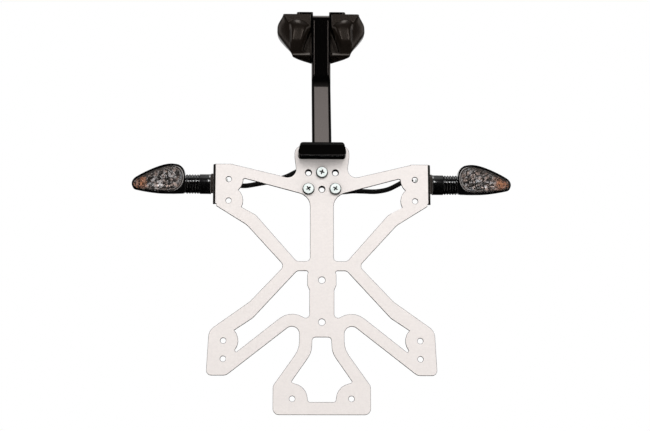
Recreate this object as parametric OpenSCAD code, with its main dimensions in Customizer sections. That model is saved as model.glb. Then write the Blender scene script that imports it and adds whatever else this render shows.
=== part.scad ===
// Tail tidy: a folded stainless number plate bracket with lamp and indicators,
// carried by a folded steel arm under the tail of a motorbike.
// X is to the right seen from behind, Y points forward along the bike, Z is up.
// The origin is the middle of the four tail bolt holes on the mounting plate's top face.

/* [Number plate bracket] */
// Sheet thickness of the bracket
plate_t = 2.5; // [1.5:0.1:3]
// Height of the mounting face above the bracket's setting-out line
bracket_drop = 231; // [215:1:250]
// Width of the head that carries the lamp
head_w = 55; // [50:1:62]
// Height of the head's top edge above the setting-out line
head_top = 72; // [70:1:78]
// Width of the upper spine
spine_w = 23.5; // [20:0.5:26]
// Width of the lower spine
lower_spine_w = 24.5; // [20:0.5:27]
// Width across the two folded ears
ears_w = 218.6; // [210:0.2:236]
// Height of a folded ear
ear_h = 40.8; // [37:0.2:44]
// Height of the ears' top edge above the setting-out line
ear_top = 52.7; // [51:0.1:56]
// Depth of a folded ear
ear_depth = 35; // [31:1:45]
// Rise of the folded ears' lower edge towards their free edge
ear_rise = 9; // [8:0.5:11]
// Outer radius of the ears' folds
ear_fold_r = 3.5; // [3:0.1:5]
// Width across the lower ears
lower_ears_w = 227; // [222:1:236]
// Depth of the lower ears' bottom edge below the setting-out line
lower_ears_drop = 160.2; // [156:0.2:168]
// Width of the bottom tab
tab_w = 95.8; // [90:0.2:110]
// Depth of the bottom tab's edge below the setting-out line
tab_drop = 198.6; // [196:0.2:210]
// Edge distance that the windows keep from the number plate holes
hole_margin = 14.6; // [12:0.1:15]

/* [Number plate holes] */
// Diameter of the number plate holes
plate_hole_d = 5.5; // [4:0.1:6.5]
// Spacing across of the upper holes
upper_hole_x = 187; // [184:1:190]
// Spacing up and down of the upper holes
upper_hole_z = 22; // [18:1:24]
// Height of the upper pairs' middle above the setting-out line
upper_hole_mid = 26; // [25:0.5:29]
// Spacing across of the lower holes
lower_hole_x = 194; // [190:1:198]
// Spacing up and down of the lower holes
lower_hole_z = 18; // [14:1:22]
// Depth of the lower pairs' middle below the setting-out line
lower_hole_mid = 135; // [132:0.5:138]
// Spacing of the two holes in the bottom tab
tab_hole_x = 58; // [54:1:62]
// Depth of the bottom tab's holes below the setting-out line
tab_hole_drop = 183; // [180:0.5:185]
// Diameter of the two holes on the spine
spine_hole_d = 6.6; // [5:0.1:8]
// Spacing of the two holes on the spine
spine_hole_z = 42; // [40:1:44]
// Depth of the upper spine hole below the setting-out line
spine_hole_drop = 65.5; // [64:0.5:67]

/* [Arm] */
// Sheet thickness of the arm
arm_t = 2.5; // [2:0.1:3]
// Width of the arm's channel
arm_w = 20; // [18:0.5:21]
// Depth of the arm's channel
arm_d = 12; // [10:0.5:12.5]
// Outer radius of the channel's folds
arm_fold_r = 3; // [2.6:0.1:4]
// Lean of the long lower run, in degrees
lower_lean = 30; // [27:1:32]
// Rise of the long lower run
lower_rise = 77.3; // [74:0.1:80]
// Lean of the short middle run, in degrees
middle_lean = 10; // [6:1:14]
// Rise of the short middle run
middle_rise = 17.7; // [14:0.1:22]
// Distance from the arm's upright run back to the tail bolts' middle
arm_back = 30; // [29:0.5:31]
// Width of the foot behind the bracket
foot_w = 42; // [40:1:44]
// Outer radius of the fold under the mounting plate
tongue_fold_r = 4.5; // [3.5:0.1:5.5]
// Reach of the tongue in front of the tail bolts' middle
tongue_reach = 24; // [22:1:24]
// Spacing across of the foot's holes
grid_x = 13.5; // [13:0.1:14]
// Spacing up and down of the foot's holes
grid_z = 17; // [16:0.5:18]
// Height of the foot's upper row above the setting-out line
grid_top = 44; // [43:0.5:46]

/* [Mounting plate] */
// Thickness of the mounting plate
mount_t = 2.5; // [2:0.1:4]
// Width of the mounting plate
mount_w = 51.6; // [50:0.2:58]
// Distance from the tail bolts' middle to the plate's rear edge
mount_back = 31; // [29:0.5:32]
// Distance from the tail bolts' middle to the plate's front edge
mount_front = 32; // [30:0.5:34]
// Width of the rear notch
notch_w = 17; // [14:0.5:18]
// Depth of the rear notch
notch_d = 17; // [14:0.5:18]
// Width of the front notch that lets the loom through
loom_notch_w = 14; // [10:0.5:16]
// Depth of the front notch
loom_notch_d = 7; // [5:0.5:7]
// Diameter of the tail bolt holes
tail_hole_d = 6.5; // [6:0.1:8.5]
// Spacing across of the tail bolts
tail_bolt_x = 36; // [35:1:38]
// Spacing fore and aft of the tail bolts
tail_bolt_y = 40; // [36:1:44]

/* [Tail cover] */
// Width across the cover's wings
cover_w = 91; // [84:0.5:100]
// Width of the cover at its top edge
cover_top_w = 81.6; // [78:0.2:90]
// Wall thickness of the cover
cover_wall = 2.5; // [2:0.1:3]
// Distance from the tail bolts' middle back to the cover's rear face
cover_back = 32.5; // [32:0.5:35]
// Distance from the tail bolts' middle to the cover's front
cover_front = 37; // [34:1:45]
// How far the two rear panels bulge
bulge = 5; // [0:0.5:8]
// Gap round the arm where it lies in the cover
arm_gap = 0.5; // [0.3:0.1:1]

/* [Number plate lamp] */
// Width of the lamp at its lower edge
lamp_w = 49.4; // [46:0.2:53]
// Width of the lamp at its top edge
lamp_top_w = 42.8; // [40:0.2:48]
// Height of the lamp
lamp_h = 13.6; // [13:0.1:16]
// Height of the lamp's lower edge above the setting-out line
lamp_low = 57.9; // [57:0.1:58.5]
// Depth of the lamp in front of the bracket
lamp_d = 20; // [18:0.5:26]
// Spacing of the lamp's two screws
lamp_screw_x = 36; // [33:1:38]

/* [Indicators] */
// Distance of the stems' axis in front of the bracket's face
stem_y = 19; // [18:0.5:20]
// Height of the stems' axis above the setting-out line
stem_z = 36.8; // [34:0.2:38]
// Outer diameter of the stem
stem_d = 19; // [17:0.5:20]
// Length of the smooth base of the stem
stem_base_l = 12.2; // [10:0.2:14]
// Length of the flexible ribbed neck
neck_l = 13.6; // [12:0.2:16]
// Number of ribs on the neck
neck_ribs = 5; // [3:1:6]
// Thickness of the rubber washer between stem and ear
pad_t = 2.5; // [1.5:0.1:3]
// Thread diameter of the hollow stud
stud_d = 10; // [8:0.5:11]
// Bore of the hollow stud
stud_bore = 5; // [4.4:0.1:6]
// Length of an indicator's housing
housing_l = 54; // [50:0.5:60]
// Depth of the housing behind the lens
housing_d = 19.6; // [19:0.2:22]
// Height of the lens's crown in front of the housing
lens_crown = 9; // [6:0.5:11]
// Wall of the housing
housing_wall = 2; // [1.6:0.1:2.4]
// Wall of the lens
lens_wall = 1.6; // [1.2:0.1:2]

/* [Fasteners] */
// Diameter of the bracket's screws
screw_d = 6; // [5:0.5:6]
// Diameter of the bracket screws' heads
screw_head_d = 12; // [10:0.5:12.5]
// Width across the flats of the bracket screws' nuts
nut_af = 10; // [9:0.5:11]
// Diameter of the small screws of cover and lamp
small_d = 4; // [3:0.5:4.5]
// Diameter of the leads
lead_d = 4; // [3:0.5:4]

/* [Hidden] */
$fn = 48;

// clearance of a bolt in its hole, and of pieces that slide together
bolt_gap = 0.5;
slide_gap = 0.1;
// overshoot of a cutting tool
cut = 1;

// the arm's path seen from the side, as [y, z] of its outer face
lower_run = [lower_rise * tan(lower_lean), lower_rise];
middle_run = [middle_rise * tan(middle_lean), middle_rise];
foot_crease = 70;
bracket_y = -arm_back - plate_t - lower_run[0] - middle_run[0];
bracket_z = -bracket_drop;
crease_low = [bracket_y + plate_t, bracket_z + foot_crease];
crease_mid = crease_low + lower_run;
crease_top = crease_mid + middle_run;
tongue_top = -mount_t;
channel_end = tongue_top - tongue_fold_r - 2;

// places on the bracket
ear_x = ears_w / 2;
ear_bottom = ear_top - ear_h;
lower_ear_x = lower_ears_w / 2;
upper_rows = [upper_hole_mid + upper_hole_z / 2, upper_hole_mid - upper_hole_z / 2];
lower_rows = [-lower_hole_mid + lower_hole_z / 2, -lower_hole_mid - lower_hole_z / 2];
grid_rows = [grid_top, grid_top - grid_z];
screw_places = [[0, grid_rows[0]], [-grid_x, grid_rows[1]], [grid_x, grid_rows[1]]];
spare_places = [[0, grid_rows[1]], [-grid_x, grid_rows[0]], [grid_x, grid_rows[0]]];

// Rounded outlines

function unit(v) = v / norm(v);

// the arc that rounds corner b between its neighbours a and c
function corner(a, b, c, r) =
    r <= 0 ? [b] :
    let (u = unit(a - b), v = unit(c - b), half = acos(u * v) / 2, mid = unit(u + v),
        centre = b + mid * r / sin(half), from = b + u * r / tan(half) - centre,
        to = b + v * r / tan(half) - centre, start = atan2(from[1], from[0]),
        turn = (atan2(to[1], to[0]) - start + 540) % 360 - 180, steps = max(2, ceil(abs(turn) / 15)))
    [for (k = [0:steps]) centre + r * [cos(start + turn * k / steps), sin(start + turn * k / steps)]];

// a list of [x, y, radius] corners turned into a closed outline
function rounded(p) = let (n = len(p))
    [for (i = [0:n - 1]) each corner([p[(i + n - 1) % n][0], p[(i + n - 1) % n][1]], [p[i][0], p[i][1]],
        [p[(i + 1) % n][0], p[(i + 1) % n][1]], p[i][2])];

// the right half of an outline and its mirror image
function both_halves(right) = concat(right,
    [for (i = [len(right) - 1:-1:0]) [-right[i][0], right[i][1], right[i][2]]]);

// an arc as sharp corners, for an edge that runs round a hole
function arc(centre, r, start, end, steps = 5) =
    [for (k = [0:steps]) let (a = start + (end - start) * k / steps)
        [centre[0] + r * cos(a), centre[1] + r * sin(a), 0]];

// an outline in the XZ plane, from y0 to y1
module upright(outline, y0, y1) {
    translate([0, y1, 0]) rotate([90, 0, 0]) linear_extrude(y1 - y0) polygon(outline);
}

// an outline in the YZ plane, from x0 to x1
module sideways(outline, x0, x1) {
    translate([x0, 0, 0]) rotate([90, 0, 90]) linear_extrude(x1 - x0) polygon(outline);
}

module rod_y(x, z, d, y0, y1) {
    translate([x, y1, z]) rotate([90, 0, 0]) cylinder(d = d, h = y1 - y0);
}

module rod_x(y, z, d, x0, x1) {
    translate([x0, y, z]) rotate([0, 90, 0]) cylinder(d = d, h = x1 - x0);
}

module at_bracket() {
    translate([0, bracket_y, bracket_z]) children();
}

module on_side(side) {
    if (side < 0) mirror([1, 0, 0]) children();
    else children();
}

// Closed skins through rings of points; each end cap fans out from the point half way round its ring

module skin(rings) {
    n = len(rings[0]);
    m = len(rings);
    half = floor(n / 2);
    sides = [for (i = [0:m - 2]) for (j = [0:n - 1]) let (a = i * n + j, b = i * n + (j + 1) % n)
        each [[a, b, b + n], [a, b + n, a + n]]];
    first = [for (j = [n - 1:-1:0]) (j + half + 1) % n];
    last = [for (j = [0:n - 1]) (m - 1) * n + (j + half) % n];
    polyhedron(points = [for (r = rings) each r], faces = concat([first], sides, [last]));
}

// a smooth closed curve through the given points
function smooth(p, steps) = let (n = len(p))
    [for (i = [0:n - 1]) for (k = [0:steps - 1]) let (t = k / steps, a = p[(i + n - 1) % n], b = p[i],
        c = p[(i + 1) % n], d = p[(i + 2) % n])
        b + t / 2 * (c - a) + t * t / 2 * (2 * a - 5 * b + 4 * c - d) + t * t * t / 2 * (3 * b - a - 3 * c + d)];

// a closed curve moved inwards by d
function inset(p, d) = let (n = len(p))
    [for (i = [0:n - 1]) let (along = unit(p[(i + 1) % n] - p[(i + n - 1) % n])) p[i] + d * [-along[1], along[0]]];

// Number plate bracket

waist = [37.3, -51.2];
strut_knee = [71, -87];
crotch = [22.2, -103.9];
leg_knee = [22.2, -134.1];

bracket_right = [
    [head_w / 2, head_top, 8],
    [head_w / 2, head_top - 12, 20],
    [head_w / 2 - 3, 36.5, 8.5],
    [ear_x - 18, ear_top, 25],
    [ear_x - ear_fold_r, ear_top, 0],
    [ear_x - ear_fold_r, ear_bottom - 2.2, 0],
    [75, -9.7, 20],
    [waist[0], waist[1], 5],
    [strut_knee[0], strut_knee[1], 20],
    [lower_ear_x - 2.2, -116, 12],
    [lower_ear_x, -lower_ears_drop, 5],
    [lower_ear_x - 19.6, -lower_ears_drop, 8],
    [crotch[0], crotch[1], 7.4],
    [leg_knee[0], leg_knee[1], 24],
    [tab_w / 2, 28.2 - tab_drop, 6],
    [tab_w / 2, -tab_drop, 6]
];

// the window under the upper arm, bounded by two arcs round the upper holes
cusp = asin(upper_hole_z / 2 / hole_margin);
upper_window = concat([
    [spine_w / 2, 20.1, 14],
    [spine_w / 2, -46.5, 4],
    [25.2, -46.5, 5],
    [66, 0.3, 12]],
    arc([upper_hole_x / 2, upper_rows[1]], hole_margin, 207, 180 - cusp),
    arc([upper_hole_x / 2, upper_rows[0]], hole_margin, 180 + cusp, 180),
    [[77.2, 37.8, 1.2]]);

// the window above the lower arm, bounded by an arc round the upper hole of the lower ear
lower_window = concat([
    [13, -56.1, 1.8],
    [14.4, -60, 3],
    [14.4, -70.5, 3],
    [lower_spine_w / 2, -75.5, 3],
    [lower_spine_w / 2, -106.4, 3.8],
    [30.5, -94.8, 20.2],
    [84.4, -137.6, 0.8]],
    arc([lower_hole_x / 2, lower_rows[0]], hole_margin + 0.2, 219, 136),
    [[68.1, -103.5, 15],
    [24.7, -56.1, 5]]);

// the window in the bottom tab, bounded by arcs round the tab's two holes
bottom_window_right = concat([
    [9.4, -122.4, 3.5],
    [10, -137.7, 20],
    [30.2, -166.8, 1.2]],
    arc([tab_hole_x / 2, -tab_hole_drop], hole_margin + 0.4, 99, 178),
    [[13.5, -186.2, 2.5]]);

// front sheet and fold of one ear, seen from above
ear_fold = rounded([
    [ear_x - 20, 0, 0],
    [ear_x, 0, ear_fold_r],
    [ear_x, ear_depth, 0],
    [ear_x - plate_t, ear_depth, 0],
    [ear_x - plate_t, plate_t, ear_fold_r - plate_t],
    [ear_x - 20, plate_t, 0]]);

// one ear seen from the side, tapering from below towards its free edge
ear_side = rounded([
    [-cut, ear_bottom, 0],
    [ear_fold_r, ear_bottom, 3],
    [ear_depth, ear_bottom + ear_rise, 7],
    [ear_depth, ear_top, 7],
    [-cut, ear_top, 0]]);

module folded_ear() {
    intersection() {
        translate([0, 0, ear_bottom]) linear_extrude(ear_h) polygon(ear_fold);
        sideways(ear_side, ear_x - 21, ear_x + cut);
    }
}

module bracket_holes() {
    for (s = [-1, 1]) {
        for (z = upper_rows) rod_y(s * upper_hole_x / 2, z, plate_hole_d, -cut, plate_t + cut);
        for (z = lower_rows) rod_y(s * lower_hole_x / 2, z, plate_hole_d, -cut, plate_t + cut);
        rod_y(s * tab_hole_x / 2, -tab_hole_drop, plate_hole_d, -cut, plate_t + cut);
        rod_y(s * lamp_screw_x / 2, lamp_screw_z, small_d + bolt_gap, -cut, plate_t + cut);
    }
    for (k = [0, 1]) rod_y(0, -spine_hole_drop - k * spine_hole_z, spine_hole_d, -cut, plate_t + cut);
    for (x = [-grid_x, 0, grid_x], z = grid_rows) rod_y(x, z, screw_d + bolt_gap, -cut, plate_t + cut);
    rod_y(0, lamp_lead_z, grommet_d, -cut, plate_t + cut);
    rod_x(stem_y, stem_z, stud_d + bolt_gap, -ear_x - cut, ear_x + cut);
}

module plate_bracket() {
    color("gainsboro") at_bracket() difference() {
        union() {
            difference() {
                upright(rounded(both_halves(bracket_right)), 0, plate_t);
                for (s = [-1, 1]) on_side(s) {
                    upright(rounded(upper_window), -cut, plate_t + cut);
                    upright(rounded(lower_window), -cut, plate_t + cut);
                }
                upright(rounded(both_halves(bottom_window_right)), -cut, plate_t + cut);
            }
            for (s = [-1, 1]) on_side(s) folded_ear();
        }
        bracket_holes();
    }
}

// Arm

// the foot's outline, narrowing to the channel's width at the crease
foot_low = grid_rows[1] - 7.5;
foot_right = [
    [foot_w / 2, foot_low, 8],
    [foot_w / 2, grid_top + 7, 6],
    [arm_w / 2, grid_top + 17, 5],
    [arm_w / 2, foot_crease + 8, 0]
];

channel_profile = rounded([
    [-arm_w / 2, 0, arm_fold_r],
    [arm_w / 2, 0, arm_fold_r],
    [arm_w / 2, arm_d, 0],
    [arm_w / 2 - arm_t, arm_d, 0],
    [arm_w / 2 - arm_t, arm_t, arm_fold_r - arm_t],
    [arm_t - arm_w / 2, arm_t, arm_fold_r - arm_t],
    [arm_t - arm_w / 2, arm_d, 0],
    [-arm_w / 2, arm_d, 0]]);

function across(lean) = [cos(lean), -sin(lean)];

// the slice of the arm between two creases, each cut at half the bend's angle
module between_creases(low, low_angle, high, high_angle) {
    reach = 40;
    intersection() {
        children();
        sideways([low - reach * across(low_angle), high - reach * across(high_angle),
            high + reach * across(high_angle), low + reach * across(low_angle)], -foot_w, foot_w);
    }
}

module channel_run(start, lean, length) {
    spare = 20;
    translate([0, start[0], start[1]]) rotate([-lean, 0, 0]) translate([0, 0, -spare])
        linear_extrude(length + 2 * spare) polygon(channel_profile);
}

tongue_side = rounded([
    [-arm_back, channel_end, 0],
    [-arm_back, tongue_top, tongue_fold_r],
    [tongue_reach, tongue_top, 0],
    [tongue_reach, tongue_top - arm_t, 0],
    [arm_t - arm_back, tongue_top - arm_t, tongue_fold_r - arm_t],
    [arm_t - arm_back, channel_end, 0]]);

tongue_plan = rounded([
    [-arm_w / 2, -arm_back - cut, 0],
    [arm_w / 2, -arm_back - cut, 0],
    [arm_w / 2, tongue_reach, 4],
    [-arm_w / 2, tongue_reach, 4]]);

arm_bolt_places = [-2, 16];
// how much smaller the foot's spare holes are drilled than the screws
spare_step = 0.8;

module arm() {
    color("dimgray") difference() {
        union() {
            between_creases(crease_low - [0, foot_crease], 0, crease_low, lower_lean / 2)
                at_bracket() upright(rounded(both_halves(foot_right)), plate_t, plate_t + arm_t);
            between_creases(crease_low, lower_lean / 2, crease_mid, (lower_lean + middle_lean) / 2)
                channel_run(crease_low, lower_lean, lower_rise / cos(lower_lean));
            between_creases(crease_mid, (lower_lean + middle_lean) / 2, crease_top, middle_lean / 2)
                channel_run(crease_mid, middle_lean, middle_rise / cos(middle_lean));
            between_creases(crease_top, middle_lean / 2, [-arm_back, channel_end], 0)
                channel_run(crease_top, 0, channel_end - crease_top[1]);
            intersection() {
                sideways(tongue_side, -arm_w / 2, arm_w / 2);
                translate([0, 0, channel_end]) linear_extrude(-channel_end) polygon(tongue_plan);
            }
        }
        at_bracket() {
            for (p = screw_places) rod_y(p[0], p[1], screw_d + bolt_gap, 0, plate_t + arm_t + cut);
            for (p = spare_places) rod_y(p[0], p[1], screw_d - spare_step, 0, plate_t + arm_t + cut);
            rod_y(0, lamp_lead_z, grommet_d, 0, plate_t + arm_t + cut);
        }
        for (y = arm_bolt_places) translate([0, y, tongue_top - arm_t - cut])
            cylinder(d = screw_d + bolt_gap, h = arm_t + 2 * cut);
    }
}

// Mounting plate

mount_right = [
    [notch_w / 2, -mount_back, 1.5],
    [mount_w / 2, -mount_back, 3],
    [mount_w / 2, mount_front, 8],
    [loom_notch_w / 2, mount_front, 1.5],
    [loom_notch_w / 2, mount_front - loom_notch_d, 4],
    [-loom_notch_w / 2, mount_front - loom_notch_d, 4],
    [-loom_notch_w / 2, mount_front, 1.5],
    [-mount_w / 2, mount_front, 8],
    [-mount_w / 2, -mount_back, 3],
    [-notch_w / 2, -mount_back, 1.5],
    [-notch_w / 2, notch_d - mount_back, 4],
    [notch_w / 2, notch_d - mount_back, 4]
];

cover_screw_x = tail_bolt_x / 2;

module tail_bolt_places() {
    for (x = [-1, 1] * tail_bolt_x / 2, y = [-1, 1] * tail_bolt_y / 2) translate([x, y, 0]) children();
}

// a countersunk head's space, with its flat face at z = 0
module countersink(d, head_d) {
    depth = (head_d - d) / 2;
    translate([0, 0, -depth]) cylinder(d1 = d, d2 = head_d, h = depth);
}

arm_bolt_head = 11.4;
cover_screw_head = 8.4;

module mounting_plate() {
    color("darkslategray") difference() {
        translate([0, 0, -mount_t]) linear_extrude(mount_t) polygon(rounded(mount_right));
        tail_bolt_places() translate([0, 0, -mount_t - cut]) cylinder(d = tail_hole_d, h = mount_t + 2 * cut);
        for (y = arm_bolt_places) translate([0, y, 0]) {
            translate([0, 0, -mount_t - cut]) cylinder(d = screw_d + bolt_gap, h = mount_t + 2 * cut);
            countersink(screw_d + bolt_gap, arm_bolt_head + bolt_gap);
            cylinder(d = arm_bolt_head + bolt_gap, h = cut);
        }
        for (x = [-1, 1] * cover_screw_x) translate([x, 0, 0]) {
            translate([0, 0, -mount_t - cut]) cylinder(d = small_d + bolt_gap, h = mount_t + 2 * cut);
            countersink(small_d + bolt_gap, cover_screw_head + bolt_gap);
            cylinder(d = cover_screw_head + bolt_gap, h = cut);
        }
    }
}

// Tail cover

// One row per level of the cover: height, half width, rear face, half width of the recess round the arm,
// front face, and half width of the rear face. The recess widens downwards beside the arm and closes
// round it above the lower lip.
recess = arm_w / 2 + arm_gap;
recess_floor = arm_d - arm_back + arm_gap;
wing = cover_w / 2;
rim_step = 0.3;
cover_levels = [
    [-50, 12, recess_floor - 0.5, recess, -6, 11.5],
    [-47.7, 31, -cover_back, recess, -3, 30],
    [-46, 31.5, -cover_back, recess, 2, 30.7],
    [-44.5, 32, -cover_back, recess + 9.5, 6, 31],
    [-42, 33.5, -cover_back, recess + 9, 10.5, 32],
    [-36, 37.5, -cover_back, recess + 7.5, 16, 33.5],
    [-29, wing - 3.9, -cover_back, recess + 5.5, 22, 34.3],
    [-22, wing - 0.4, -cover_back, recess + 3.5, 27, 35],
    [-17, wing, -cover_back, recess + 2, 30, 35],
    [-13, wing - 0.3, -cover_back, recess + 0.8, 32, 35.6],
    [-10, wing - 1.2, -cover_back, recess, 33.5, 36.8],
    [-7, wing - 2.6, -cover_back, recess, 35, 38.2],
    [-mount_t - rim_step, cover_top_w / 2, -cover_back, recess, cover_front, cover_top_w / 2 - 0.9]
];

// the hollow's floor, in the same form
cover_floor = [-46.3, 17.5, recess_floor - 0.5, recess, 0, 16.8];

function between(a, b, t) = a + (b - a) * t;
function limit(v) = max(0, min(1, v));
function ease(t) = t * t * (3 - 2 * t);

// how far a rear panel stands out, with an arched upper edge; t runs from the recess to the wing
function panel_out(t, z) = bulge * ease(limit((-9 - 5 * pow(2 * t - 1, 2) - z) / 4.5))
    * ease(limit((z + 46) / 5)) * (1 - pow(2 * t - 1, 4));

// how far down the cover a level lies, from 0 at the rim to 1 at the lip
function fallen(z) = limit((-z - 2.8) / 45);

// right half of one ring, from the middle of the recess round to the middle of the front;
// the ring is square at the top, so that the mounting plate fits in, and pointed at the lip
function cover_half(level, wall) =
    let (z = level[0], w = level[1] - wall, rear = level[2] + wall, g = level[3] + wall,
        front = level[4] - wall, outer = level[5] - wall, floor_y = recess_floor + wall,
        mid = rear + between(10, 1.5, limit((-z - 22) / 25)), inner = min(g + 2.2, outer - 0.3),
        power = between(0.7, 1.5, pow(fallen(z), 3)))
    concat(
        [[0, floor_y], [g / 2, floor_y], [g - 0.4, floor_y]],
        [[g, between(floor_y, rear, 0.04)], [g + 0.2, between(floor_y, rear, 0.5)],
            [g + 0.4, between(floor_y, rear, 0.9)]],
        [for (k = [0:6]) let (t = k / 6) [between(inner, outer, t), rear - panel_out(t, z)]],
        [[between(outer, w, 0.45), between(rear, mid, 0.3)], [between(outer, w, 0.85), between(rear, mid, 0.65)]],
        [for (k = [0:6]) [w * pow(cos(15 * k), power), mid + (front - mid) * pow(sin(15 * k), power)]]);

// half width, rear and front of the opening in the cover's top deck
deck_x = 12.5;
deck_back = -12;
deck_front = 31;
deck_opening = rounded([
    [deck_x, deck_back, 3],
    [deck_x, deck_front, 5],
    [-deck_x, deck_front, 5],
    [-deck_x, deck_back, 3]]);

function full_ring(half, z) = let (n = len(half))
    concat([for (p = half) [p[0], p[1], z]], [for (i = [n - 2:-1:1]) [-half[i][0], half[i][1], z]]);

top_level = cover_levels[len(cover_levels) - 1];
deck_low = -mount_t - cover_wall;

cover_rings = concat(
    [for (l = cover_levels) full_ring(cover_half(l, 0), l[0])],
    [full_ring(cover_half(top_level, cover_wall), top_level[0])],
    [for (i = [len(cover_levels) - 2:-1:3]) full_ring(cover_half(cover_levels[i], cover_wall), cover_levels[i][0])],
    [full_ring(cover_half(cover_floor, cover_wall), cover_floor[0])]);

socket_z = -26;
socket_w = 17;
socket_h = 7;

module cover_deck() {
    edge = [for (p = full_ring(cover_half(top_level, cover_wall * 0.4), 0)) [p[0], p[1]]];
    translate([0, 0, deck_low]) linear_extrude(cover_wall) difference() {
        polygon(edge);
        polygon(deck_opening);
        translate([-recess, recess_floor - cut]) square([2 * recess, deck_back - recess_floor + 2 * cut]);
        for (x = [-1, 1] * tail_bolt_x / 2, y = [-1, 1] * tail_bolt_y / 2) translate([x, y])
            circle(d = tail_hole_d + 1);
        for (x = [-1, 1] * cover_screw_x) translate([x, 0]) circle(d = small_d + bolt_gap);
    }
}

module tail_cover() {
    color("darkslategray") union() {
        difference() {
            skin(reversed(cover_rings));
            translate([-recess, recess_floor - cut, tongue_top - arm_t - arm_gap])
                cube([2 * recess, cover_wall + 2 * cut, arm_t + mount_t]);
            translate([-socket_w / 2, recess_floor - cut, socket_z - socket_h / 2])
                cube([socket_w, cover_wall + 2 * cut, socket_h]);
        }
        cover_deck();
    }
}

// Fasteners of the top

module hexagon(af, h) {
    cylinder(d = af / cos(30), h = h, $fn = 6);
}

// lock nut that hangs below z = 0
module lock_nut_below(d, af, h) {
    difference() {
        union() {
            translate([0, 0, -h * 0.7]) hexagon(af, h * 0.7);
            translate([0, 0, -h]) cylinder(d1 = af * 0.8, d2 = af * 0.92, h = h * 0.3);
        }
        translate([0, 0, -h - cut]) cylinder(d = d + slide_gap, h = h + 2 * cut);
    }
}

module countersunk_screw(d, head_d, length) {
    difference() {
        union() {
            translate([0, 0, -length]) cylinder(d = d, h = length);
            countersink(d, head_d);
        }
        translate([0, 0, -1.8]) hexagon(d * 0.62, 1.8 + cut);
    }
}

module arm_bolts() {
    color("silver") for (y = arm_bolt_places) translate([0, y, 0])
        countersunk_screw(screw_d, arm_bolt_head, mount_t + arm_t + 8);
}

module arm_nuts() {
    color("silver") for (y = arm_bolt_places) translate([0, y, tongue_top - arm_t])
        lock_nut_below(screw_d, nut_af, 6);
}

module cover_screws() {
    color("silver") for (x = [-1, 1] * cover_screw_x) translate([x, 0, 0])
        countersunk_screw(small_d, cover_screw_head, mount_t + cover_wall + 6);
}

module cover_nuts() {
    color("silver") for (x = [-1, 1] * cover_screw_x) translate([x, 0, deck_low])
        lock_nut_below(small_d, 7, 5);
}

// Number plate lamp

lamp_top = lamp_low + lamp_h;
lamp_screw_z = lamp_low + 8.4;
lamp_lead_z = lamp_low + 6;
grommet_d = 8;
recess_depth = 3.6;
lamp_lens_t = 2;
chamber_w = 26;
chamber_top = lamp_top - 2.5;
board_t = 1.6;
emitter_pitch = 9;

lamp_front = rounded([
    [-lamp_w / 2, lamp_low, 3],
    [lamp_w / 2, lamp_low, 3],
    [lamp_top_w / 2, lamp_top, 3],
    [-lamp_top_w / 2, lamp_top, 3]]);

lamp_recess = rounded([
    [2 - lamp_w / 2, 2 - lamp_d, 3],
    [lamp_w / 2 - 2, 2 - lamp_d, 3],
    [lamp_w / 2 - 2, -2, 2],
    [2 - lamp_w / 2, -2, 2]]);

module lamp_housing() {
    chamfer = 3.6;
    color("black") at_bracket() difference() {
        upright(lamp_front, -lamp_d, 0);
        sideways([[-lamp_d - cut, lamp_top + cut], [-lamp_d - cut, lamp_top - chamfer - cut],
            [-lamp_d + chamfer + cut, lamp_top + cut]], -lamp_w, lamp_w);
        translate([0, 0, lamp_low - cut]) linear_extrude(recess_depth + cut) polygon(lamp_recess);
        translate([-chamber_w / 2, 4 - lamp_d, lamp_low])
            cube([chamber_w, lamp_d - 7, chamber_top - lamp_low]);
        for (s = [-1, 1]) rod_y(s * lamp_screw_x / 2, lamp_screw_z, small_d + slide_gap, -10, cut);
        rod_y(0, lamp_lead_z, lead_d + bolt_gap, 3 - lamp_d, cut);
    }
}

module lamp_lens() {
    color("white", 0.6) at_bracket() difference() {
        translate([3.2 - lamp_w / 2, 3.2 - lamp_d, lamp_low + recess_depth - lamp_lens_t])
            cube([lamp_w - 6.4, lamp_d - 6.4, lamp_lens_t]);
        for (k = [-9:9]) translate([k * 2.2, -lamp_d, lamp_low + recess_depth - lamp_lens_t]) rotate([-90, 0, 0])
            cylinder(d = 0.8, h = lamp_d);
    }
}

module lamp_board() {
    color("seagreen") at_bracket() translate([0.3 - chamber_w / 2, 4.3 - lamp_d, chamber_top - board_t])
        cube([chamber_w - 0.6, lamp_d - 7.6, board_t]);
}

module lamp_emitters() {
    color("lemonchiffon") at_bracket() for (k = [-1:1])
        translate([k * emitter_pitch, 0.5 - lamp_d / 2, chamber_top - board_t]) {
            translate([-1.7, -1.7, -1]) cube([3.4, 3.4, 1]);
            translate([0, 0, -1]) intersection() {
                sphere(d = 2.6);
                translate([-2, -2, -2]) cube([4, 4, 2]);
            }
        }
}

module lamp_screws() {
    color("silver") at_bracket() for (s = [-1, 1]) {
        rod_y(s * lamp_screw_x / 2, lamp_screw_z, small_d, -8, plate_t);
        rod_y(s * lamp_screw_x / 2, lamp_screw_z, 7.5, plate_t, plate_t + 2.6);
    }
}

// grommet that lines the lead's hole through bracket and foot
module lamp_grommet() {
    color("black") at_bracket() translate([0, 0, lamp_lead_z]) rotate([-90, 0, 0]) rotate_extrude()
        polygon([[lead_d / 2 + 0.2, 0.1], [grommet_d / 2 - 0.1, 0.1], [grommet_d / 2 - 0.1, plate_t + arm_t],
            [grommet_d / 2 + 1, plate_t + arm_t], [grommet_d / 2 + 1, plate_t + arm_t + 0.8],
            [grommet_d / 2, plate_t + arm_t + 1.4], [lead_d / 2 + 0.2, plate_t + arm_t + 1.4]]);
}

// Screws that hold the bracket to the arm's foot

washer_t = 1.2;
screw_l = plate_t + arm_t + washer_t + 8;
screw_head_h = 4;

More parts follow.
